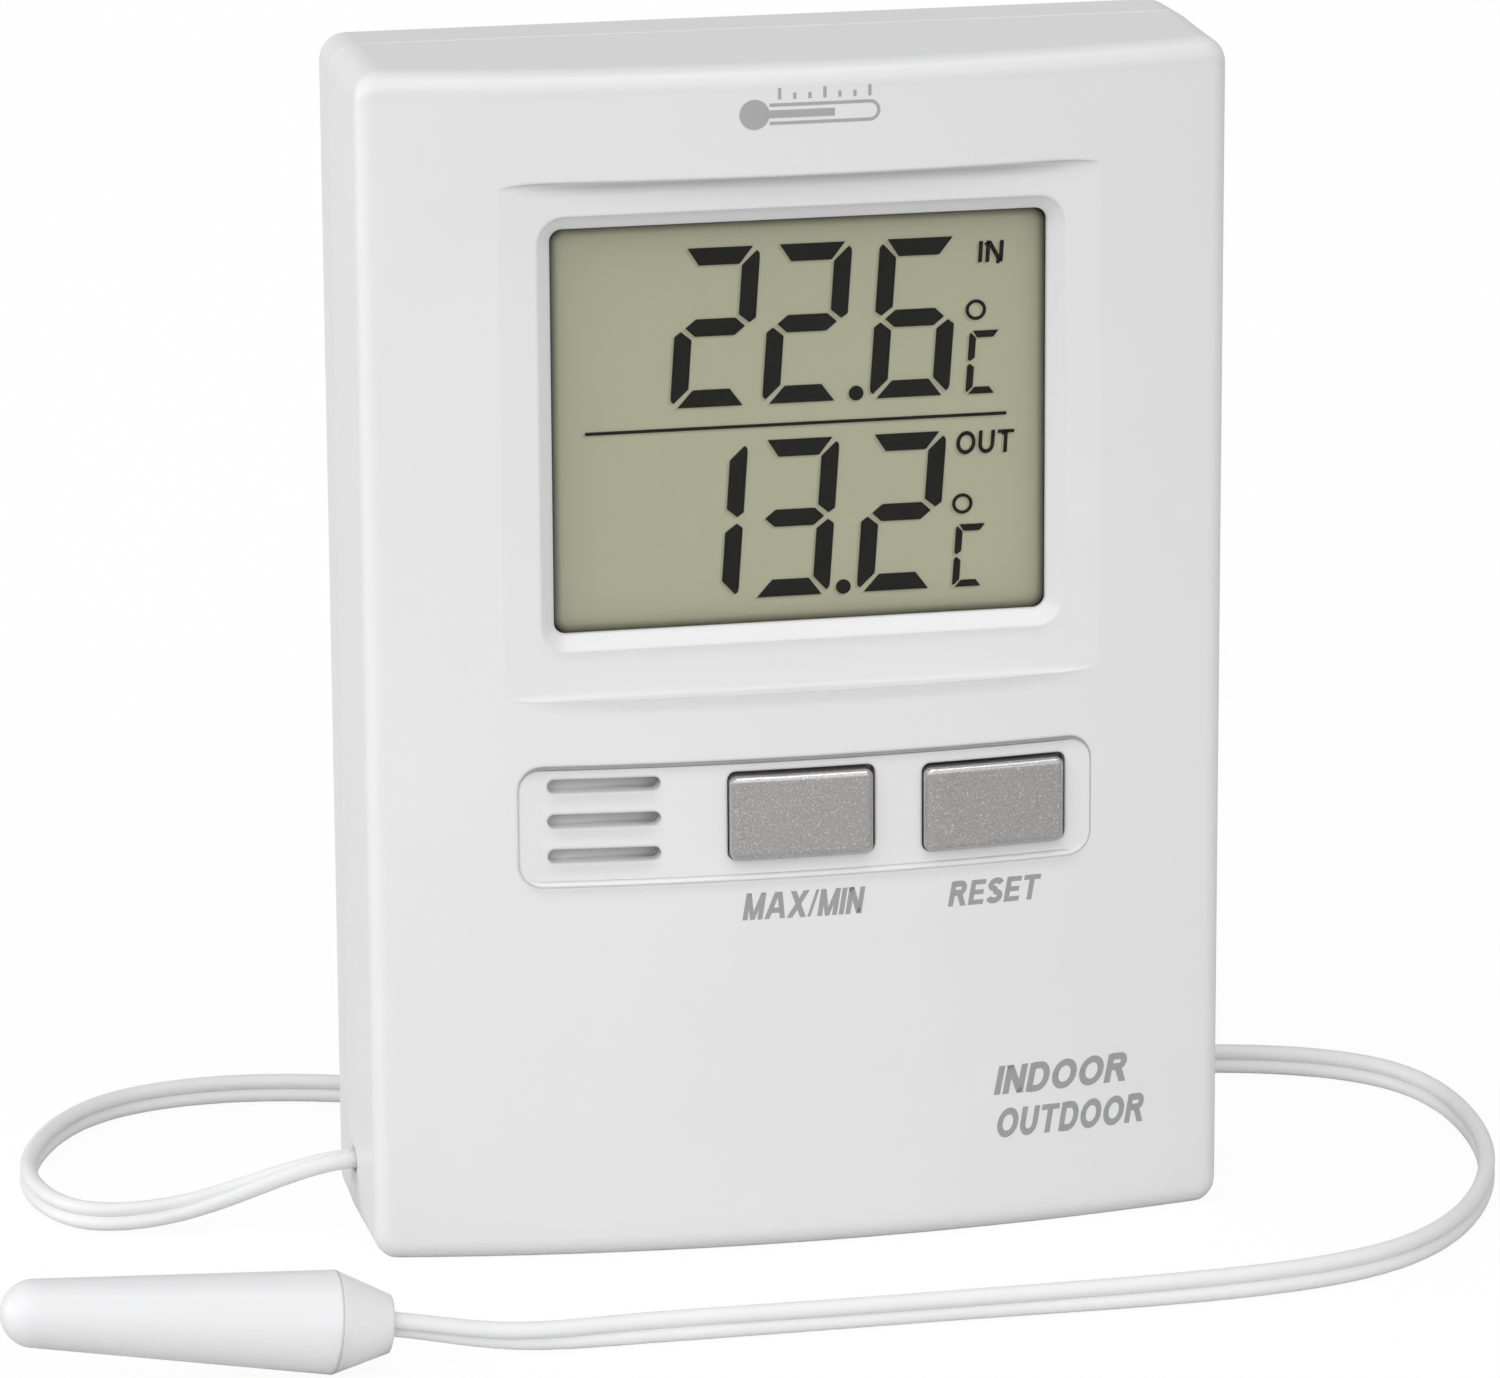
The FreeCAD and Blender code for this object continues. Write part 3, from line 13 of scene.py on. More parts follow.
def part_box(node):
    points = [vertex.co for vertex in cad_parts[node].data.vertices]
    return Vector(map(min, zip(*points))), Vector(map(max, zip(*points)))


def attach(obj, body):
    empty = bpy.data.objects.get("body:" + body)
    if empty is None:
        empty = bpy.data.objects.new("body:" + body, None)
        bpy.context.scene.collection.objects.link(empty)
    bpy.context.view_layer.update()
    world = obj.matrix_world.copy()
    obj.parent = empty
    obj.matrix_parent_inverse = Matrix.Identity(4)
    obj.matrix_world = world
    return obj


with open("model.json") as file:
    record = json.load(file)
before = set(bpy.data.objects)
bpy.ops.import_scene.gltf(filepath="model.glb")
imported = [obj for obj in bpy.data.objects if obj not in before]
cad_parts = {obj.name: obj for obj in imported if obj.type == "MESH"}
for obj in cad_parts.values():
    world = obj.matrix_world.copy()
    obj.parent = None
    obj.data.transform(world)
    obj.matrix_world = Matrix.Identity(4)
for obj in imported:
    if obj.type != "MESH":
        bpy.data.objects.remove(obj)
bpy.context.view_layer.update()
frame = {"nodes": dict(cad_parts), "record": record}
MM = 0.001

# The bowed face: its front point and its radius.
CASE_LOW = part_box("front_case")[0]
CROWN_Y = CASE_LOW.y
CROWN_RADIUS = 163 * MM

# The film seen through the window: its front, and its middle, half size and corner radius.
FILM_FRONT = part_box("front_polariser")[0].y
FILM_MIDDLE = (0.305 * MM, 67.34 * MM)
FILM_HALF = (19.95 * MM, 16.35 * MM)
FILM_CORNER = 1.3 * MM

# The photo tent: how bright it is away from its bright wall and towards it, and where that wall is.
ROOM_DIM = 0.53
ROOM_BRIGHT = 1.78
BRIGHT_SIDE = (-0.46, -0.89, 0.0)

# White plastic: the radius of its soft edges, and the shade painted into its colour under an overhang.
SOFT_EDGE = 0.4 * MM
OVERHANG_REACH = 1.4 * MM
OVERHANG_PAINTED_SHADE = (0.27, 0.27, 0.275)
UPWARD_PULL = (0, 0, 2.5)
EDGE_SAMPLES = 6


def crown_y(x):
    """Y of the bowed face at x."""
    return CROWN_Y + CROWN_RADIUS - math.sqrt(CROWN_RADIUS ** 2 - x ** 2)


# Materials ----------------------------------------------------------------------------

class Recipe:
    """A node material being put together round one Principled shader."""

    def __init__(self, name, colour, roughness, **settings):
        self.material = bpy.data.materials.new(name)
        self.material.use_nodes = True
        self.tree = self.material.node_tree
        self.shader = self.tree.nodes["Principled BSDF"]
        self.output = self.tree.nodes["Material Output"]
        self.set(self.shader, "Base Color", (*colour, 1))
        self.set(self.shader, "Roughness", roughness)
        for key, value in settings.items():
            self.set(self.shader, key.replace("_", " "), value)
        self.place = self.add("ShaderNodeTexCoord").outputs["Object"]

    def add(self, kind, **inputs):
        """A new node; its inputs take values or other nodes' sockets."""
        node = self.tree.nodes.new(kind)
        for key, value in inputs.items():
            self.set(node, key.replace("_", " "), value)
        return node

    def set(self, node, key, value):
        """Give an input a value, or link a socket to it."""
        if isinstance(value, bpy.types.NodeSocket):
            self.tree.links.new(value, node.inputs[key])
        else:
            node.inputs[key].default_value = value

    def noise(self, size, detail=2.0):
        """Noise whose features are about size metres across."""
        node = self.add("ShaderNodeTexNoise", Vector=self.place, Scale=1 / size, Detail=detail)
        return node.outputs["Fac"]

    def ramp(self, value, low, high, start=0.0, end=1.0):
        """Map value from start..end to low..high."""
        node = self.add("ShaderNodeMapRange", Value=value, From_Min=start, From_Max=end,
                        To_Min=low, To_Max=high)
        return node.outputs["Result"]

    def math(self, operation, first, second=0.0):
        """One arithmetic step."""
        node = self.tree.nodes.new("ShaderNodeMath")
        node.operation = operation
        self.set(node, 0, first)
        self.set(node, 1, second)
        return node.outputs["Value"]

    def mix_surfaces(self, share, first, second):
        """Make the surface a mix of two shaders."""
        mixed = self.add("ShaderNodeMixShader")
        self.set(mixed, 0, share)
        self.set(mixed, 1, first)
        self.set(mixed, 2, second)
        self.set(self.output, "Surface", mixed.outputs["Shader"])

    def rounded_edge(self, middle, half, corner):
        """0 well inside an upright rounded rectangle, rising to corner on its edge."""
        axes = self.add("ShaderNodeSeparateXYZ", Vector=self.place).outputs
        reach = []
        for axis, centre, size in zip("XZ", middle, half):
            away = self.math("ABSOLUTE", self.math("SUBTRACT", axes[axis], centre))
            reach.append(self.math("MAXIMUM", self.math("SUBTRACT", away, size - corner), 0.0))
        squares = [self.math("MULTIPLY", value, value) for value in reach]
        return self.math("SQRT", self.math("ADD", *squares))

    def painted_overhang_shade(self, reach):
        """Share of painted shade: towards 1 where something within reach hides the light from above.

        0 in the open, and on faces that look up.
        """
        normal = self.add("ShaderNodeNewGeometry").outputs["Normal"]
        tilted = self.tree.nodes.new("ShaderNodeVectorMath")
        tilted.operation = "ADD"
        self.set(tilted, 0, normal)
        self.set(tilted, 1, UPWARD_PULL)
        aim = self.tree.nodes.new("ShaderNodeVectorMath")
        aim.operation = "NORMALIZE"
        self.set(aim, 0, tilted.outputs["Vector"])
        open_share = self.add("ShaderNodeAmbientOcclusion", Distance=reach, Normal=aim.outputs["Vector"])
        open_share.samples = EDGE_SAMPLES
        open_share.only_local = True
        hidden = self.ramp(open_share.outputs["AO"], 1, 0, 0.12, 0.80)
        upward = self.add("ShaderNodeSeparateXYZ", Vector=normal).outputs["Z"]
        return self.math("MULTIPLY", hidden, self.ramp(upward, 1, 0, 0.05, 0.4))

    def blend(self, factor, first, second):
        """Mix two colours."""
        node = self.tree.nodes.new("ShaderNodeMix")
        node.data_type = "RGBA"
        self.tree.links.new(factor, node.inputs["Factor"])
        for socket, colour in ((node.inputs[6], first), (node.inputs[7], second)):
            if isinstance(colour, bpy.types.NodeSocket):
                self.tree.links.new(colour, socket)
            else:
                socket.default_value = (*colour, 1)
        return node.outputs[2]

    def colour(self, factor, first, second):
        """Drive the base colour between two colours."""
        self.set(self.shader, "Base Color", self.blend(factor, first, second))

    def bump(self, height, depth, strength, soft_edge=0.0):
        """Relief of about depth metres from a height value; soft_edge rounds the look of the edges."""
        node = self.add("ShaderNodeBump", Height=height, Distance=depth, Strength=strength)
        if soft_edge:
            edge = self.add("ShaderNodeBevel", Radius=soft_edge)
            edge.samples = EDGE_SAMPLES
            self.set(node, "Normal", edge.outputs["Normal"])
        self.set(self.shader, "Normal", node.outputs["Normal"])


def moulded_white(name, colour, roughness=0.36):
    """Satin white plastic: faint mould texture, hardly any colour drift, and painted shade under
    overhangs.
    """
    recipe = Recipe(name, colour, roughness, Specular_IOR_Level=0.42)
    drift = recipe.ramp(recipe.noise(18 * MM), 0, 1, 0.35, 0.65)
    off_white = tuple(0.985 * part for part in colour)
    white = recipe.blend(drift, off_white, colour)
    # Painted shade: the colour turns grey where an overhang hides the light from above.
    recipe.colour(recipe.painted_overhang_shade(OVERHANG_REACH), white, OVERHANG_PAINTED_SHADE)
    fine = recipe.noise(0.22 * MM, 3)
    recipe.set(recipe.shader, "Roughness", recipe.ramp(fine, roughness - 0.05, roughness + 0.06))
    recipe.bump(fine, 0.004 * MM, 0.5, SOFT_EDGE)
    return recipe.material


def soft_cable(name):
    """Soft white insulation, slightly uneven along its length."""
    recipe = Recipe(name, (0.83, 0.83, 0.835), 0.42, Specular_IOR_Level=0.4)
    drift = recipe.noise(4 * MM)
    recipe.colour(drift, (0.80, 0.80, 0.805), (0.85, 0.85, 0.855))
    unevenness = recipe.noise(0.6 * MM, 3)
    recipe.bump(unevenness, 0.01 * MM, 0.6)
    return recipe.material


def metallic_paint(name):
    """Silver key paint: fine metal flakes that sparkle here and there."""
    recipe = Recipe(name, (0.36, 0.355, 0.35), 0.30, Metallic=0.75, Specular_IOR_Level=0.5,
                    Coat_Weight=0.5, Coat_Roughness=0.12)
    cells = recipe.add("ShaderNodeTexVoronoi", Vector=recipe.place, Scale=1 / (0.09 * MM))
    flake = recipe.add("ShaderNodeSeparateColor", Color=cells.outputs["Color"]).outputs["Red"]
    grain = recipe.ramp(recipe.noise(0.16 * MM, 4), 0, 1, 0.3, 0.7)
    sparkle = recipe.ramp(flake, 0, 0.7, 0.93, 1.0)
    body = recipe.blend(grain, (0.36, 0.352, 0.348), (0.54, 0.53, 0.525))
    recipe.colour(sparkle, body, (0.95, 0.95, 0.95))
    recipe.bump(grain, 0.006 * MM, 0.5, 0.15 * MM)
    return recipe.material


def clear_sheet(name, tint, gloss):
    """A clear sheet seen straight through, with a weak reflection of the room."""
    recipe = Recipe(name, tint, 0.08)
    smudge = recipe.ramp(recipe.noise(6 * MM), 0.04, 0.10)
    through = recipe.add("ShaderNodeBsdfTransparent", Color=(*tint, 1)).outputs["BSDF"]
    shine = recipe.add("ShaderNodeBsdfGlossy", Roughness=smudge, Color=(1, 1, 1, 1)).outputs["BSDF"]
    facing = recipe.add("ShaderNodeFresnel", IOR=1.35).outputs["Fac"]
    recipe.mix_surfaces(recipe.math("MULTIPLY", facing, gloss), through, shine)
    return recipe.material


def film(name):
    """The display's olive-grey film: fine grain, and a dark border that fades inwards, partly the dark
    frame edge and partly painted shade from the window's rim.
    """
    recipe = Recipe(name, (0.40, 0.39, 0.285), 0.6, Specular_IOR_Level=0.15)
    grain = recipe.noise(0.25 * MM, 4)
    olive = recipe.blend(grain, (0.470, 0.455, 0.335), (0.500, 0.485, 0.357))
    edge = recipe.rounded_edge(FILM_MIDDLE, FILM_HALF, FILM_CORNER)
    # Dark frame edge and painted shade: the colour darkens towards the window's rim.
    dark = recipe.ramp(edge, 0, 1, FILM_CORNER - 0.75 * MM, FILM_CORNER + 0.05 * MM)
    recipe.colour(recipe.math("POWER", dark, 1.5), olive, (0.03, 0.03, 0.022))
    return recipe.material


def plain(name, light, dark, roughness, grain, **settings):
    """A material that drifts between two close colours at the given grain size, with a matching relief."""
    recipe = Recipe(name, light, roughness, **settings)
    fine = recipe.noise(grain, 3)
    recipe.colour(fine, dark, light)
    recipe.set(recipe.shader, "Roughness", recipe.ramp(fine, roughness * 0.85, min(1.0, roughness * 1.15)))
    recipe.bump(fine, grain * 0.05, 0.5)
    return recipe.material


def node_materials():
    """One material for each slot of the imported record, and those of the printed and drawn marks."""
    return {
        "case_white": moulded_white("case_white_look", (0.80, 0.80, 0.805)),
        "probe_white": moulded_white("probe_white_look", (0.81, 0.81, 0.82), 0.4),
        "cable_white": soft_cable("cable_white_look"),
        "key_silver": metallic_paint("key_silver_look"),
        "lens_clear": clear_sheet("lens_look", (0.985, 0.99, 0.985), 0.35),
        "polariser_film": film("film_look"),
        "display_glass": clear_sheet("display_glass_look", (0.99, 0.99, 0.985), 0.0),
        "reflector_grey": plain("reflector_look", (0.5, 0.5, 0.48), (0.45, 0.45, 0.43), 0.5, 0.2 * MM),
        "tape_grey": plain("tape_look", (0.02, 0.02, 0.02), (0.012, 0.012, 0.012), 0.8, 0.3 * MM),
        "contact_rubber": plain("contact_rubber_look", (0.05, 0.05, 0.05), (0.02, 0.02, 0.02), 0.7,
                                0.2 * MM),
        "frame_black": plain("frame_look", (0.03, 0.03, 0.03), (0.02, 0.02, 0.02), 0.5, 0.4 * MM),
        "board_green": plain("board_look", (0.02, 0.16, 0.06), (0.01, 0.11, 0.04), 0.35, 2 * MM),
        "steel": plain("steel_look", (0.62, 0.62, 0.60), (0.50, 0.50, 0.49), 0.3, 0.3 * MM, Metallic=1.0),
        "epoxy_black": plain("epoxy_look", (0.012, 0.012, 0.012), (0.006, 0.006, 0.006), 0.25,
                             1.5 * MM),
        "ceramic_tan": plain("ceramic_look", (0.45, 0.32, 0.2), (0.36, 0.25, 0.15), 0.5, 0.3 * MM),
        "resistor_black": plain("resistor_look", (0.03, 0.03, 0.03), (0.015, 0.015, 0.015), 0.4,
                                0.2 * MM),
        "bead_epoxy": plain("bead_look", (0.02, 0.03, 0.02), (0.01, 0.015, 0.01), 0.3, 0.5 * MM),
        "keypad_rubber": plain("keypad_look", (0.55, 0.55, 0.53), (0.48, 0.48, 0.47), 0.6, 0.5 * MM),
        "carbon": plain("carbon_look", (0.03, 0.03, 0.03), (0.015, 0.015, 0.015), 0.8, 0.15 * MM),
        "cell_jacket": plain("cell_look", (0.10, 0.12, 0.16), (0.07, 0.085, 0.12), 0.3, 3 * MM,
                             Metallic=0.6),
        "wire_red": plain("wire_red_look", (0.5, 0.03, 0.02), (0.4, 0.02, 0.015), 0.45, 0.5 * MM),
        "wire_black": plain("wire_black_look", (0.03, 0.03, 0.03), (0.02, 0.02, 0.02), 0.45, 0.5 * MM),
        "copper": plain("copper_look", (0.72, 0.36, 0.2), (0.6, 0.28, 0.15), 0.3, 0.2 * MM, Metallic=1.0),
        "potting": plain("potting_look", (0.10, 0.095, 0.085), (0.07, 0.065, 0.06), 0.5, 0.6 * MM),
        "segment": plain("segment_look", (0.013, 0.013, 0.010), (0.010, 0.010, 0.008), 0.7, 0.8 * MM,
                         Specular_IOR_Level=0.1),
        "mark_shadow": plain("mark_shadow_look", (0.40, 0.385, 0.282), (0.385, 0.37, 0.27), 0.6,
                             0.3 * MM, Specular_IOR_Level=0.15),
        "ink": plain("ink_look", (0.36, 0.36, 0.365), (0.32, 0.32, 0.325), 0.55, 0.3 * MM),
        "light_ink": plain("light_ink_look", (0.42, 0.42, 0.42), (0.38, 0.38, 0.38), 0.55, 0.3 * MM),
    }


def dress_nodes(looks):
    """Give each CAD node the material of its slot; the clear lens casts no shadow on the display."""
    for entry in frame["record"]["subparts"]:
        mesh = frame["nodes"][entry["node"]].data
        mesh.materials.clear()
        mesh.materials.append(looks[entry["material_slot"]])
    frame["nodes"]["window_lens"].visible_shadow = False


# Pieces -------------------------------------------------------------------------------

def finish_piece(piece, body, material):
    """Put a new piece on its body, in its material."""
    piece.data.materials.clear()
    piece.data.materials.append(material)
    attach(piece, body)


def object_from(name, work):
    """An object from a bmesh, with its normals facing out."""
    bmesh.ops.recalc_face_normals(work, faces=work.faces)
    mesh = bpy.data.meshes.new(name)
    work.to_mesh(mesh)
    work.free()
    piece = bpy.data.objects.new(name, mesh)
    bpy.context.scene.collection.objects.link(piece)
    return piece


def join_loops(work, first, second):
    """Faces between two closed loops with the same number of points."""
    count = len(first)
    for index in range(count):
        following = (index + 1) % count
        work.faces.new((first[index], first[following], second[following], second[index]))


def plates(name, outlines, front_of, back_of):
    """Closed plates from outlines in x and z; two functions of x give y at the front and the back."""
    work = bmesh.new()
    for outline in outlines:
        near = [work.verts.new((x, front_of(x), z)) for x, z in outline]
        far = [work.verts.new((x, back_of(x), z)) for x, z in outline]
        work.faces.new(near)
        work.faces.new(far[::-1])
        join_loops(work, near, far)
    return object_from(name, work)


def arc(centre_x, centre_z, radius, start, end, steps):
    """Points on a circle between two angles in degrees."""
    angles = [math.radians(start + (end - start) * step / steps) for step in range(steps + 1)]
    return [(centre_x + radius * math.cos(angle), centre_z + radius * math.sin(angle))
            for angle in angles]


def disc(centre_x, centre_z, radius):
    """The outline of a round dot, 15 degrees to a side."""
    return arc(centre_x, centre_z, radius, 0, 345, 23)


# The digits ---------------------------------------------------------------------------

DIGIT_WIDTH = 6.48 * MM
DIGIT_HEIGHT = 12.82 * MM
STROKE = 1.40 * MM
SLANT = 0.0715

# Middle of the right-hand digit of the upper row, steps from it to each digit, and to the lower row.
UPPER_ROW = Vector((9.65 * MM, 75.22 * MM))
DIGIT_PLACES = (0, -8.70 * MM, -16.12 * MM)
ROW_STEP = Vector((-1.08 * MM, -15.76 * MM))

# Decimal point, degree ring and letter C: the x of each in the upper row, and its rise from the
# row's middle.
POINT_X, POINT_RISE, POINT_RADIUS = 4.89 * MM, -5.90 * MM, 0.60 * MM
RING_X, RING_RISE, RING_OUTER, RING_INNER = 14.63 * MM, 0.39 * MM, 0.84 * MM, 0.57 * MM
UNIT_X, UNIT_RISE, UNIT_SIZE = 15.25 * MM, -3.87 * MM, 0.40

# The small words: text, low and high x, low and high z, in millimetres; then their lean and stem.
ROW_WORDS = (("IN", 14.79, 16.91, 79.43, 81.14), ("OUT", 13.05, 17.8, 63.9, 65.75))
ROW_WORD_LEAN = 0.06
ROW_WORD_STEM = 0.18

# The line between the two rows: low and high x, low and high z.
DIVIDING_LINE = (-17.0 * MM, 17.14 * MM, 66.96 * MM, 67.22 * MM)

# How far the dark marks and their faint shadows stand in front of the film, and the shadows' shift.
MARK_FRONT, MARK_BACK = 0.06 * MM, 0.03 * MM
SHADOW_FRONT, SHADOW_BACK = 0.02 * MM, 0.01 * MM
SHADOW_SHIFT = (-0.2 * MM, -0.16 * MM)

# The strokes that show each character: a top, b and c right, d bottom, e and f left, g middle.
LIT = {"1": "bc", "2": "abged", "3": "abgcd", "6": "afgecd", "C": "afed"}


def horizontal(half, level, long_inset, short_inset):
    """The top or bottom stroke: a long outer edge at level and a short one nearer the middle."""
    inner = level - math.copysign(STROKE, level)
    return [(-half + long_inset, level), (half - long_inset, level), (half - short_inset, inner),
            (-half + short_inset, inner)]


def upright(half, top):
    """The upper right stroke, with a round outer corner."""
    tip = (half - 0.27 * MM, top - 0.36 * MM)
    shoulder = (half - 0.06 * MM, top - 0.55 * MM)
    return [tip, shoulder, (half, top - 0.86 * MM), (half, 0.64 * MM), (half - 0.5 * MM, 0.26 * MM),
            (half - STROKE, 0.96 * MM), (half - STROKE, top - 1.5 * MM)]


def strokes():
    """The seven strokes of a digit about its middle, upright and full size."""
    half, top = DIGIT_WIDTH / 2, DIGIT_HEIGHT / 2
    right_upper = upright(half, top)
    middle = STROKE / 2
    tip, corner = half - 0.84 * MM, half - 1.64 * MM
    return {
        "a": horizontal(half, top, 0.6 * MM, 1.6 * MM),
        "b": right_upper,
        "c": [(x, -z) for x, z in right_upper],
        "d": horizontal(half, -top, 0.6 * MM, 1.75 * MM),
        "e": [(-x, -z) for x, z in right_upper],
        "f": [(-x, z) for x, z in right_upper],
        "g": [(-tip, 0), (-corner, middle), (corner, middle),
              (tip, 0), (corner, -middle), (-corner, -middle)],
    }


def digit(character, centre_x, centre_z, size=1.0):
    """Outlines of one character's lit strokes, leaned over and in place."""
    shapes = strokes()
    return [[(centre_x + size * (x + SLANT * z), centre_z + size * z) for x, z in shapes[name]]
            for name in LIT[character]]


def row_outlines(text, shift_x, level):
    """One row of the display: three digits, the decimal point, the degree ring and the C."""
    outlines = []
    for place, character in zip(DIGIT_PLACES, reversed(text)):
        outlines += digit(character, UPPER_ROW.x + shift_x + place, level)
    outlines.append(disc(POINT_X + shift_x, level + POINT_RISE, POINT_RADIUS))
    outlines += digit("C", UNIT_X + shift_x, level + UNIT_RISE, UNIT_SIZE)
    return outlines + ring_outlines(RING_X + shift_x, level + RING_RISE, RING_OUTER, RING_INNER)


def display_marks(looks):
    """Both rows, the dividing line and the two small words, with a faint shadow of them all."""
    outlines = row_outlines("226", 0, UPPER_ROW.y)
    outlines += row_outlines("132", ROW_STEP.x, UPPER_ROW.y + ROW_STEP.y)
    outlines.append(rectangle(*DIVIDING_LINE))
    for text, low_x, high_x, low_z, high_z in ROW_WORDS:
        outlines += word(text, (low_x, high_x), (low_z, high_z), ROW_WORD_LEAN, ROW_WORD_STEM)
    marks = plates("display_marks", outlines,
                   lambda x: FILM_FRONT - MARK_FRONT, lambda x: FILM_FRONT - MARK_BACK)
    finish_piece(marks, "case", looks["segment"])
    shifted = [[(x + SHADOW_SHIFT[0], z + SHADOW_SHIFT[1]) for x, z in outline] for outline in outlines]
    shadows = plates("display_mark_shadows", shifted,
                     lambda x: FILM_FRONT - SHADOW_FRONT, lambda x: FILM_FRONT - SHADOW_BACK)
    finish_piece(shadows, "case", looks["mark_shadow"])


def rectangle(low_x, high_x, low_z, high_z):
    """Four corners of an upright rectangle."""
    return [(low_x, low_z), (high_x, low_z), (high_x, high_z), (low_x, high_z)]


def ring_outlines(centre_x, centre_z, outer, inner):
    """A ring as short closed plates side by side."""
    steps = 32
    outside = arc(centre_x, centre_z, outer, 0, 360, steps)
    inside = arc(centre_x, centre_z, inner, 0, 360, steps)
    return [[outside[step], outside[step + 1], inside[step + 1], inside[step]] for step in range(steps)]


# The key recess -----------------------------------------------------------------------

# The recess of the keys: its low and high corners in x and z, its corner radius and its depth.
RECESS_LOW = Vector((-23.3 * MM, 31.0 * MM))
RECESS_HIGH = Vector((23.5 * MM, 41.0 * MM))
RECESS_CORNER = 2.0 * MM
RECESS_DEPTH = 0.4 * MM

# The sloping rim inside it, and how far that rim is let into the case.
LIP_WIDTH = 0.45 * MM
LIP_OVERLAP = 0.05 * MM


def recess_outline(inset):
    """Points round the recess, moved inwards, close enough to follow the bowed face."""
    corner = RECESS_CORNER - inset
    left, right = RECESS_LOW.x + RECESS_CORNER, RECESS_HIGH.x - RECESS_CORNER
    low, high = RECESS_LOW.y + RECESS_CORNER, RECESS_HIGH.y - RECESS_CORNER
    side_steps, corner_steps = 30, 8
    along = [left + (right - left) * step / side_steps for step in range(1, side_steps)]
    points = arc(right, low, corner, -90, 0, corner_steps)
    points += arc(right, high, corner, 0, 90, corner_steps)
    points += [(x, high + corner) for x in reversed(along)]
    points += arc(left, high, corner, 90, 180, corner_steps)
    points += arc(left, low, corner, 180, 270, corner_steps)
    return points + [(x, low - corner) for x in along]


def recess_lip(looks):
    """The sloping rim inside the key recess, from the face down to the recess floor."""
    work = bmesh.new()
    floor_depth = RECESS_DEPTH + LIP_OVERLAP
    section = ((0, 0), (LIP_WIDTH, RECESS_DEPTH), (LIP_WIDTH, floor_depth), (-LIP_OVERLAP, floor_depth))
    rings = []
    for inset, depth in section:
        rings.append([work.verts.new((x, crown_y(x) + depth, z)) for x, z in recess_outline(inset)])
    for index, ring in enumerate(rings):
        join_loops(work, ring, rings[(index + 1) % len(rings)])
    finish_piece(object_from("recess_lip", work), "case", looks["case_white"])


# Printed words ------------------------------------------------------------------------

# How far the ink stands off the bowed face, and how far it reaches in.
INK_OUT = 0.02 * MM
INK_IN = 0.03 * MM

# The width of each capital, for a height of one, and how thick a level stroke is next to an upright one.
WIDTHS = {"I": 0.2, "/": 0.36, "N": 0.78, "M": 0.96, "A": 0.98, "X": 0.9, "T": 0.8, "E": 0.72,
          "U": 0.78, "O": 0.94, "D": 0.82, "R": 0.84, "S": 0.78}
LEVEL_SHARE = 0.82

# The labels of the face: piece, text, low and high x, low and high z, in millimetres.
LABELS = (
    ("label_max_min", "MAX/MIN", -5.5, 4.55, 27.7, 29.9),
    ("label_reset", "RESET", 11.4, 19.3, 27.65, 29.7),
    ("label_indoor", "INDOOR", 15.3, 26.8, 11.4, 13.8),
    ("label_outdoor", "OUTDOOR", 15.6, 28.3, 7.75, 10.15),
)
LABEL_LEAN = 0.21
LABEL_STEM = 0.235
LABEL_GAP = 0.11


def bar(foot, head, stem, low=0.0, high=1.0):
    """A stroke with level ends; foot and head are the x of its middle at low and at high."""
    half = stem / 2 * math.hypot(1, (head - foot) / (high - low))
    return [(foot - half, low), (foot + half, low), (head + half, high), (head - half, high)]


def ribbon(points, stem):
    """A stroke of even width along a line of points, with square ends."""
    left, right = [], []
    for index, (x, z) in enumerate(points):
        before, after = points[max(index - 1, 0)], points[min(index + 1, len(points) - 1)]
        across = Vector((before[1] - after[1], after[0] - before[0])).normalized() * stem / 2
        left.append((x + across.x, z + across.y))
        right.append((x - across.x, z - across.y))
    return [[left[index], left[index + 1], right[index + 1], right[index]]
            for index in range(len(points) - 1)]


def bend(centre_x, centre_z, reach_x, reach_z, start, end):
    """Points on part of an ellipse between two angles in degrees."""
    return [(centre_x + reach_x * x, centre_z + reach_z * z) for x, z in arc(0, 0, 1, start, end, 14)]


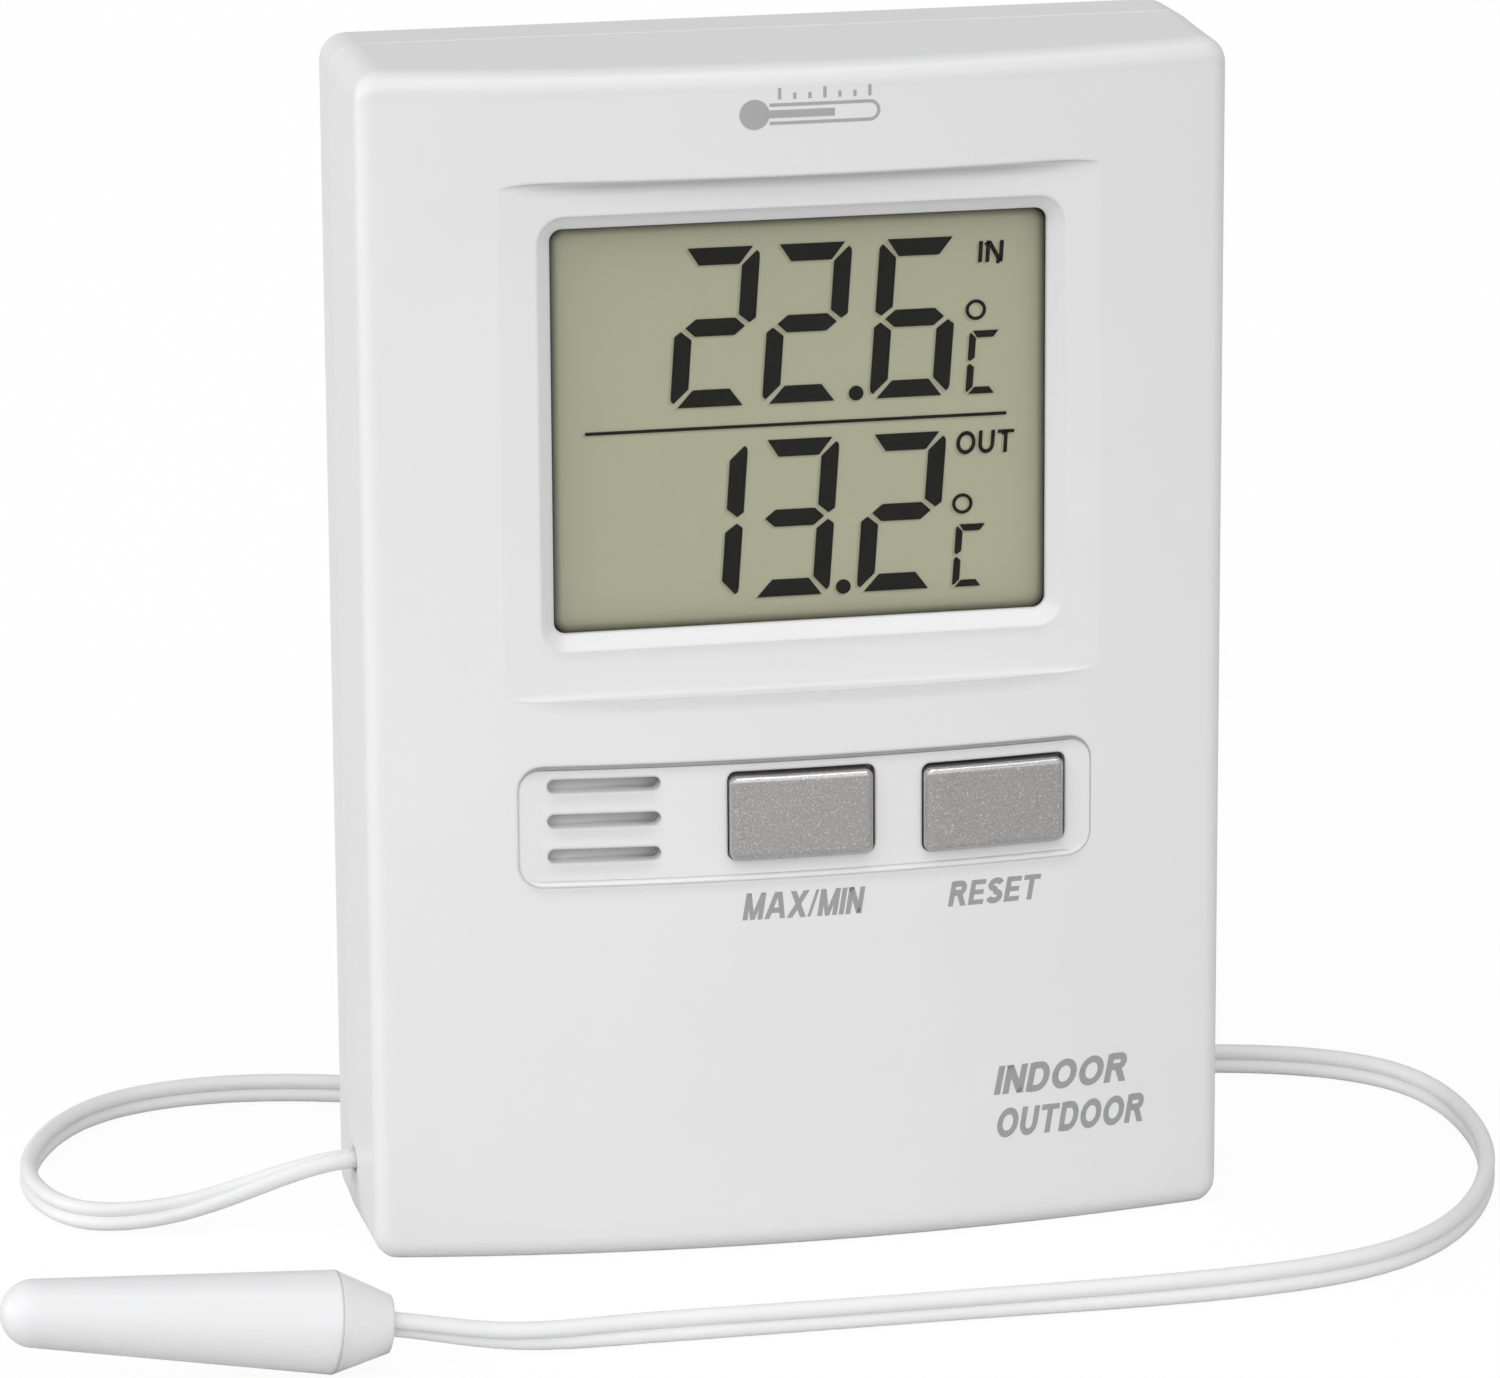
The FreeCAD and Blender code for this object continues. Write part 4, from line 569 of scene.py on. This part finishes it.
def letter(character, stem):
    """The strokes of a capital that is one unit tall and stands at x = 0."""
    wide = WIDTHS[character]
    flat = LEVEL_SHARE * stem
    half, low, high = stem / 2, flat / 2, 1 - flat / 2
    spine, far_side = bar(half, half, stem), bar(wide - half, wide - half, stem)
    if character == "I":
        return [bar(wide / 2, wide / 2, stem)]
    if character == "/":
        return [bar(0.06, 0.3, 0.6 * stem)]
    if character == "N":
        return [spine, far_side, bar(0.68, 0.1, stem)]
    if character == "M":
        thin = 0.85 * stem
        return [spine, far_side, bar(wide / 2, 0.14, thin), bar(wide / 2, 0.82, thin)]
    if character == "A":
        return [bar(0.11, 0.43, stem), bar(0.87, 0.55, stem), rectangle(0.24, 0.74, 0.22, 0.22 + flat)]
    if character == "X":
        return [bar(0.12, 0.77, stem), bar(0.78, 0.13, stem)]
    if character == "T":
        return [bar(wide / 2, wide / 2, stem), rectangle(0, wide, 1 - flat, 1)]
    if character == "E":
        return [spine, rectangle(half, wide, 0, flat), rectangle(half, 0.7, 1 - flat, 1),
                rectangle(half, 0.66, 0.5 - low, 0.5 + low)]
    if character == "U":
        bowl = bend(wide / 2, 0.4, wide / 2 - half, 0.4 - low, 180, 360)
        return ribbon([(half, 1), (half, 0.4)] + bowl + [(wide - half, 1)], stem)
    if character == "O":
        reach_x, reach_z = wide / 2 - half, 0.5 - low
        over = bend(wide / 2, 0.5, reach_x, reach_z, 0, 180)
        under = bend(wide / 2, 0.5, reach_x, reach_z, 180, 360)
        return ribbon(over + under, stem)
    if character == "D":
        bowl = bend(0.4, 0.5, 0.42 - half, 0.5 - low, 90, -90)
        return [spine] + ribbon([(half, high)] + bowl + [(half, low)], stem)
    if character == "R":
        bowl = bend(0.46, 0.72, 0.3 - half, 0.28 - low, 90, -90)
        leg = bar(0.72, 0.46, stem, 0, 0.5)
        return [spine, leg] + ribbon([(half, high)] + bowl + [(half, 0.44 + low)], stem)
    upper = bend(wide / 2, 0.74, 0.37 - half, 0.26 - low, 15, 262)
    lower = bend(wide / 2, 0.27, wide / 2 - half, 0.27 - low, 82, -165)
    return ribbon(upper + lower, stem)


def word(text, span_x, span_z, lean, stem, gap=0.14):
    """Outlines in metres of a word that fills two spans given in millimetres."""
    outlines = []
    pen = 0.0
    for character in text:
        outlines += [[(pen + x + lean * z, z) for x, z in stroke] for stroke in letter(character, stem)]
        pen += WIDTHS[character] + gap
    low_x, high_x = (MM * value for value in span_x)
    low_z, high_z = (MM * value for value in span_z)
    left = min(x for outline in outlines for x, z in outline)
    right = max(x for outline in outlines for x, z in outline)
    scale = (high_x - low_x) / (right - left)
    return [[(low_x + (x - left) * scale, low_z + z * (high_z - low_z)) for x, z in outline]
            for outline in outlines]


def print_on_face(name, outlines, ink):
    """Thin ink that follows the bowed face."""
    piece = plates(name, outlines, lambda x: crown_y(x) - INK_OUT, lambda x: crown_y(x) + INK_IN)
    finish_piece(piece, "case", ink)


def printed_labels(looks):
    """The key labels and the two words at the lower right."""
    for name, text, low_x, high_x, low_z, high_z in LABELS:
        outlines = word(text, (low_x, high_x), (low_z, high_z), LABEL_LEAN, LABEL_STEM, LABEL_GAP)
        print_on_face(name, outlines, looks["ink"])


def level_line(start, end, z):
    """Points from start to end at one height, close enough to follow the bowed face."""
    steps = 8
    return [(start + (end - start) * step / steps, z) for step in range(steps + 1)]


def pictogram(looks):
    """A small thermometer lying on its side, with a scale above it."""
    middle, level = 0.35 * MM, 92.95 * MM
    bulb_x, bulb_radius = middle - 4.5 * MM, 1.2 * MM
    liquid_end, liquid_width = middle + 1.9 * MM, 0.62 * MM
    tube_start, tube_end = middle - 3.3 * MM, middle + 4.7 * MM
    tube_radius, tube_line = 0.72 * MM, 0.26 * MM
    tick_foot, tick_half = level + 1.15 * MM, 0.13 * MM
    tick_start, tick_gap = middle - 2.5 * MM, 1.2 * MM
    long_tick, short_tick = 0.9 * MM, 0.5 * MM
    bulb = [disc(bulb_x, level, bulb_radius)]
    liquid = ribbon(level_line(bulb_x, liquid_end, level), liquid_width)
    tube = ribbon(level_line(tube_start, tube_end, level + tube_radius)
                  + arc(tube_end, level, tube_radius, 90, -90, 10)
                  + level_line(tube_end, tube_start, level - tube_radius), tube_line)
    ticks = []
    for index in range(7):
        x = tick_start + index * tick_gap
        tall = long_tick if index % 3 == 0 else short_tick
        ticks.append(rectangle(x - tick_half, x + tick_half, tick_foot, tick_foot + tall))
    print_on_face("thermometer_symbol", bulb + liquid + tube + ticks, looks["light_ink"])


# Stage --------------------------------------------------------------------------------

def floor():
    """A pale floor that looks nearly white to the camera, with only a faint shadow."""
    bpy.ops.mesh.primitive_plane_add(size=6, location=(0, 0, CASE_LOW.z - 0.05 * MM))
    plane = bpy.context.object
    plane.name = "floor"
    recipe = Recipe("floor_look", (0.66, 0.66, 0.66), 0.9)
    recipe.colour(recipe.noise(0.3), (0.65, 0.65, 0.65), (0.67, 0.67, 0.67))
    to_camera = recipe.add("ShaderNodeLightPath").outputs["Is Camera Ray"]
    glow = recipe.add("ShaderNodeEmission", Color=(1, 1, 1, 1), Strength=1.05).outputs["Emission"]
    glow_share = recipe.math("MULTIPLY", to_camera, 0.88)
    recipe.mix_surfaces(glow_share, recipe.shader.outputs["BSDF"], glow)
    plane.data.materials.append(recipe.material)


def softbox(name, place, aim, width, height, power):
    """A rectangular soft light that points at aim."""
    lamp = bpy.data.lights.new(name, "AREA")
    lamp.shape = "RECTANGLE"
    lamp.size = width
    lamp.size_y = height
    lamp.energy = power
    holder = bpy.data.objects.new(name, lamp)
    holder.location = place
    holder.rotation_euler = (Vector(aim) - Vector(place)).to_track_quat("-Z", "Y").to_euler()
    bpy.context.scene.collection.objects.link(holder)
    return holder


def room_light():
    """White to the camera; as light, a bright left front wall above the table and a dimmer rest."""
    world = bpy.data.worlds.new("room")
    bpy.context.scene.world = world
    world.use_nodes = True
    tree = world.node_tree

    def node(kind, *leading, operation=None, **named):
        """A new node; leading values go into its first inputs, named ones by name."""
        made = tree.nodes.new(kind)
        if operation:
            made.operation = operation
        filled = [(made.inputs[place], value) for place, value in enumerate(leading)]
        filled += [(made.inputs[key.replace("_", " ")], value) for key, value in named.items()]
        for socket, value in filled:
            if isinstance(value, bpy.types.NodeSocket):
                tree.links.new(value, socket)
            else:
                socket.default_value = value
        return made

    way = node("ShaderNodeTexCoord").outputs["Generated"]
    facing = node("ShaderNodeVectorMath", way, BRIGHT_SIDE, operation="DOT_PRODUCT").outputs["Value"]
    height = node("ShaderNodeSeparateXYZ", Vector=way).outputs["Z"]
    wall = node("ShaderNodeMapRange", Value=facing, From_Min=0.1, From_Max=0.65)
    above = node("ShaderNodeMapRange", Value=height, From_Min=-0.02, From_Max=0.55)
    for edge in (wall, above):
        edge.interpolation_type = "SMOOTHSTEP"
    both = node("ShaderNodeMath", wall.outputs["Result"], above.outputs["Result"], operation="MULTIPLY")
    level = node("ShaderNodeMapRange", Value=both.outputs["Value"], To_Min=ROOM_DIM, To_Max=ROOM_BRIGHT)
    light = node("ShaderNodeBackground", Color=(1, 1, 1, 1), Strength=level.outputs["Result"])
    white = node("ShaderNodeBackground", Color=(1, 1, 1, 1), Strength=1.02)
    to_camera = node("ShaderNodeLightPath").outputs["Is Camera Ray"]
    mixed = node("ShaderNodeMixShader", to_camera, light.outputs["Background"],
                 white.outputs["Background"])
    tree.links.new(mixed.outputs["Shader"], tree.nodes["World Output"].inputs["Surface"])


def lights():
    """The room, a softbox at the left, a strip above that only shows in reflections, and a low fill."""
    room_light()
    middle, foot = (0, 0, 0.05), (0, 0, 0.01)
    softbox("left_softbox", (-0.9, 0.16, 0.06), middle, width=0.35, height=0.5, power=3.2)
    strip = softbox("overhead_strip", (0.10, -0.20, 0.70), middle, width=0.5, height=0.06, power=1.2)
    strip.visible_diffuse = False
    low = softbox("low_fill", (-0.03, -0.15, 0.02), foot, width=0.16, height=0.04, power=0.022)
    low.visible_camera = False
    low.visible_glossy = False
    bpy.context.scene.view_settings.view_transform = "Standard"
    bpy.context.scene.view_settings.look = "None"


def camera():
    """Long lens, a little above and to the left of the display."""
    yaw, pitch, roll = math.radians(11.473), math.radians(14.863), math.radians(-0.346)
    target = Vector((-1.602 * MM, 4.0 * MM, 42.558 * MM))
    distance = 634.8 * MM
    view = Vector((math.sin(yaw) * math.cos(pitch), math.cos(yaw) * math.cos(pitch), -math.sin(pitch)))
    right = Vector((math.cos(yaw), -math.sin(yaw), 0))
    up = right.cross(view)
    rolled_right = right * math.cos(roll) + up * math.sin(roll)
    rolled_up = up * math.cos(roll) - right * math.sin(roll)
    lens = bpy.data.cameras.new("camera")
    lens.sensor_fit = "HORIZONTAL"
    lens.sensor_width = 36
    lens.lens = 187.18
    lens.clip_end = 20
    holder = bpy.data.objects.new("camera", lens)
    turn = Matrix((rolled_right, rolled_up, -view)).transposed().to_4x4()
    holder.matrix_world = Matrix.Translation(target - view * distance) @ turn
    bpy.context.scene.collection.objects.link(holder)
    bpy.context.scene.camera = holder


all_looks = node_materials()
dress_nodes(all_looks)
display_marks(all_looks)
recess_lip(all_looks)
printed_labels(all_looks)
pictogram(all_looks)
floor()
lights()
camera()
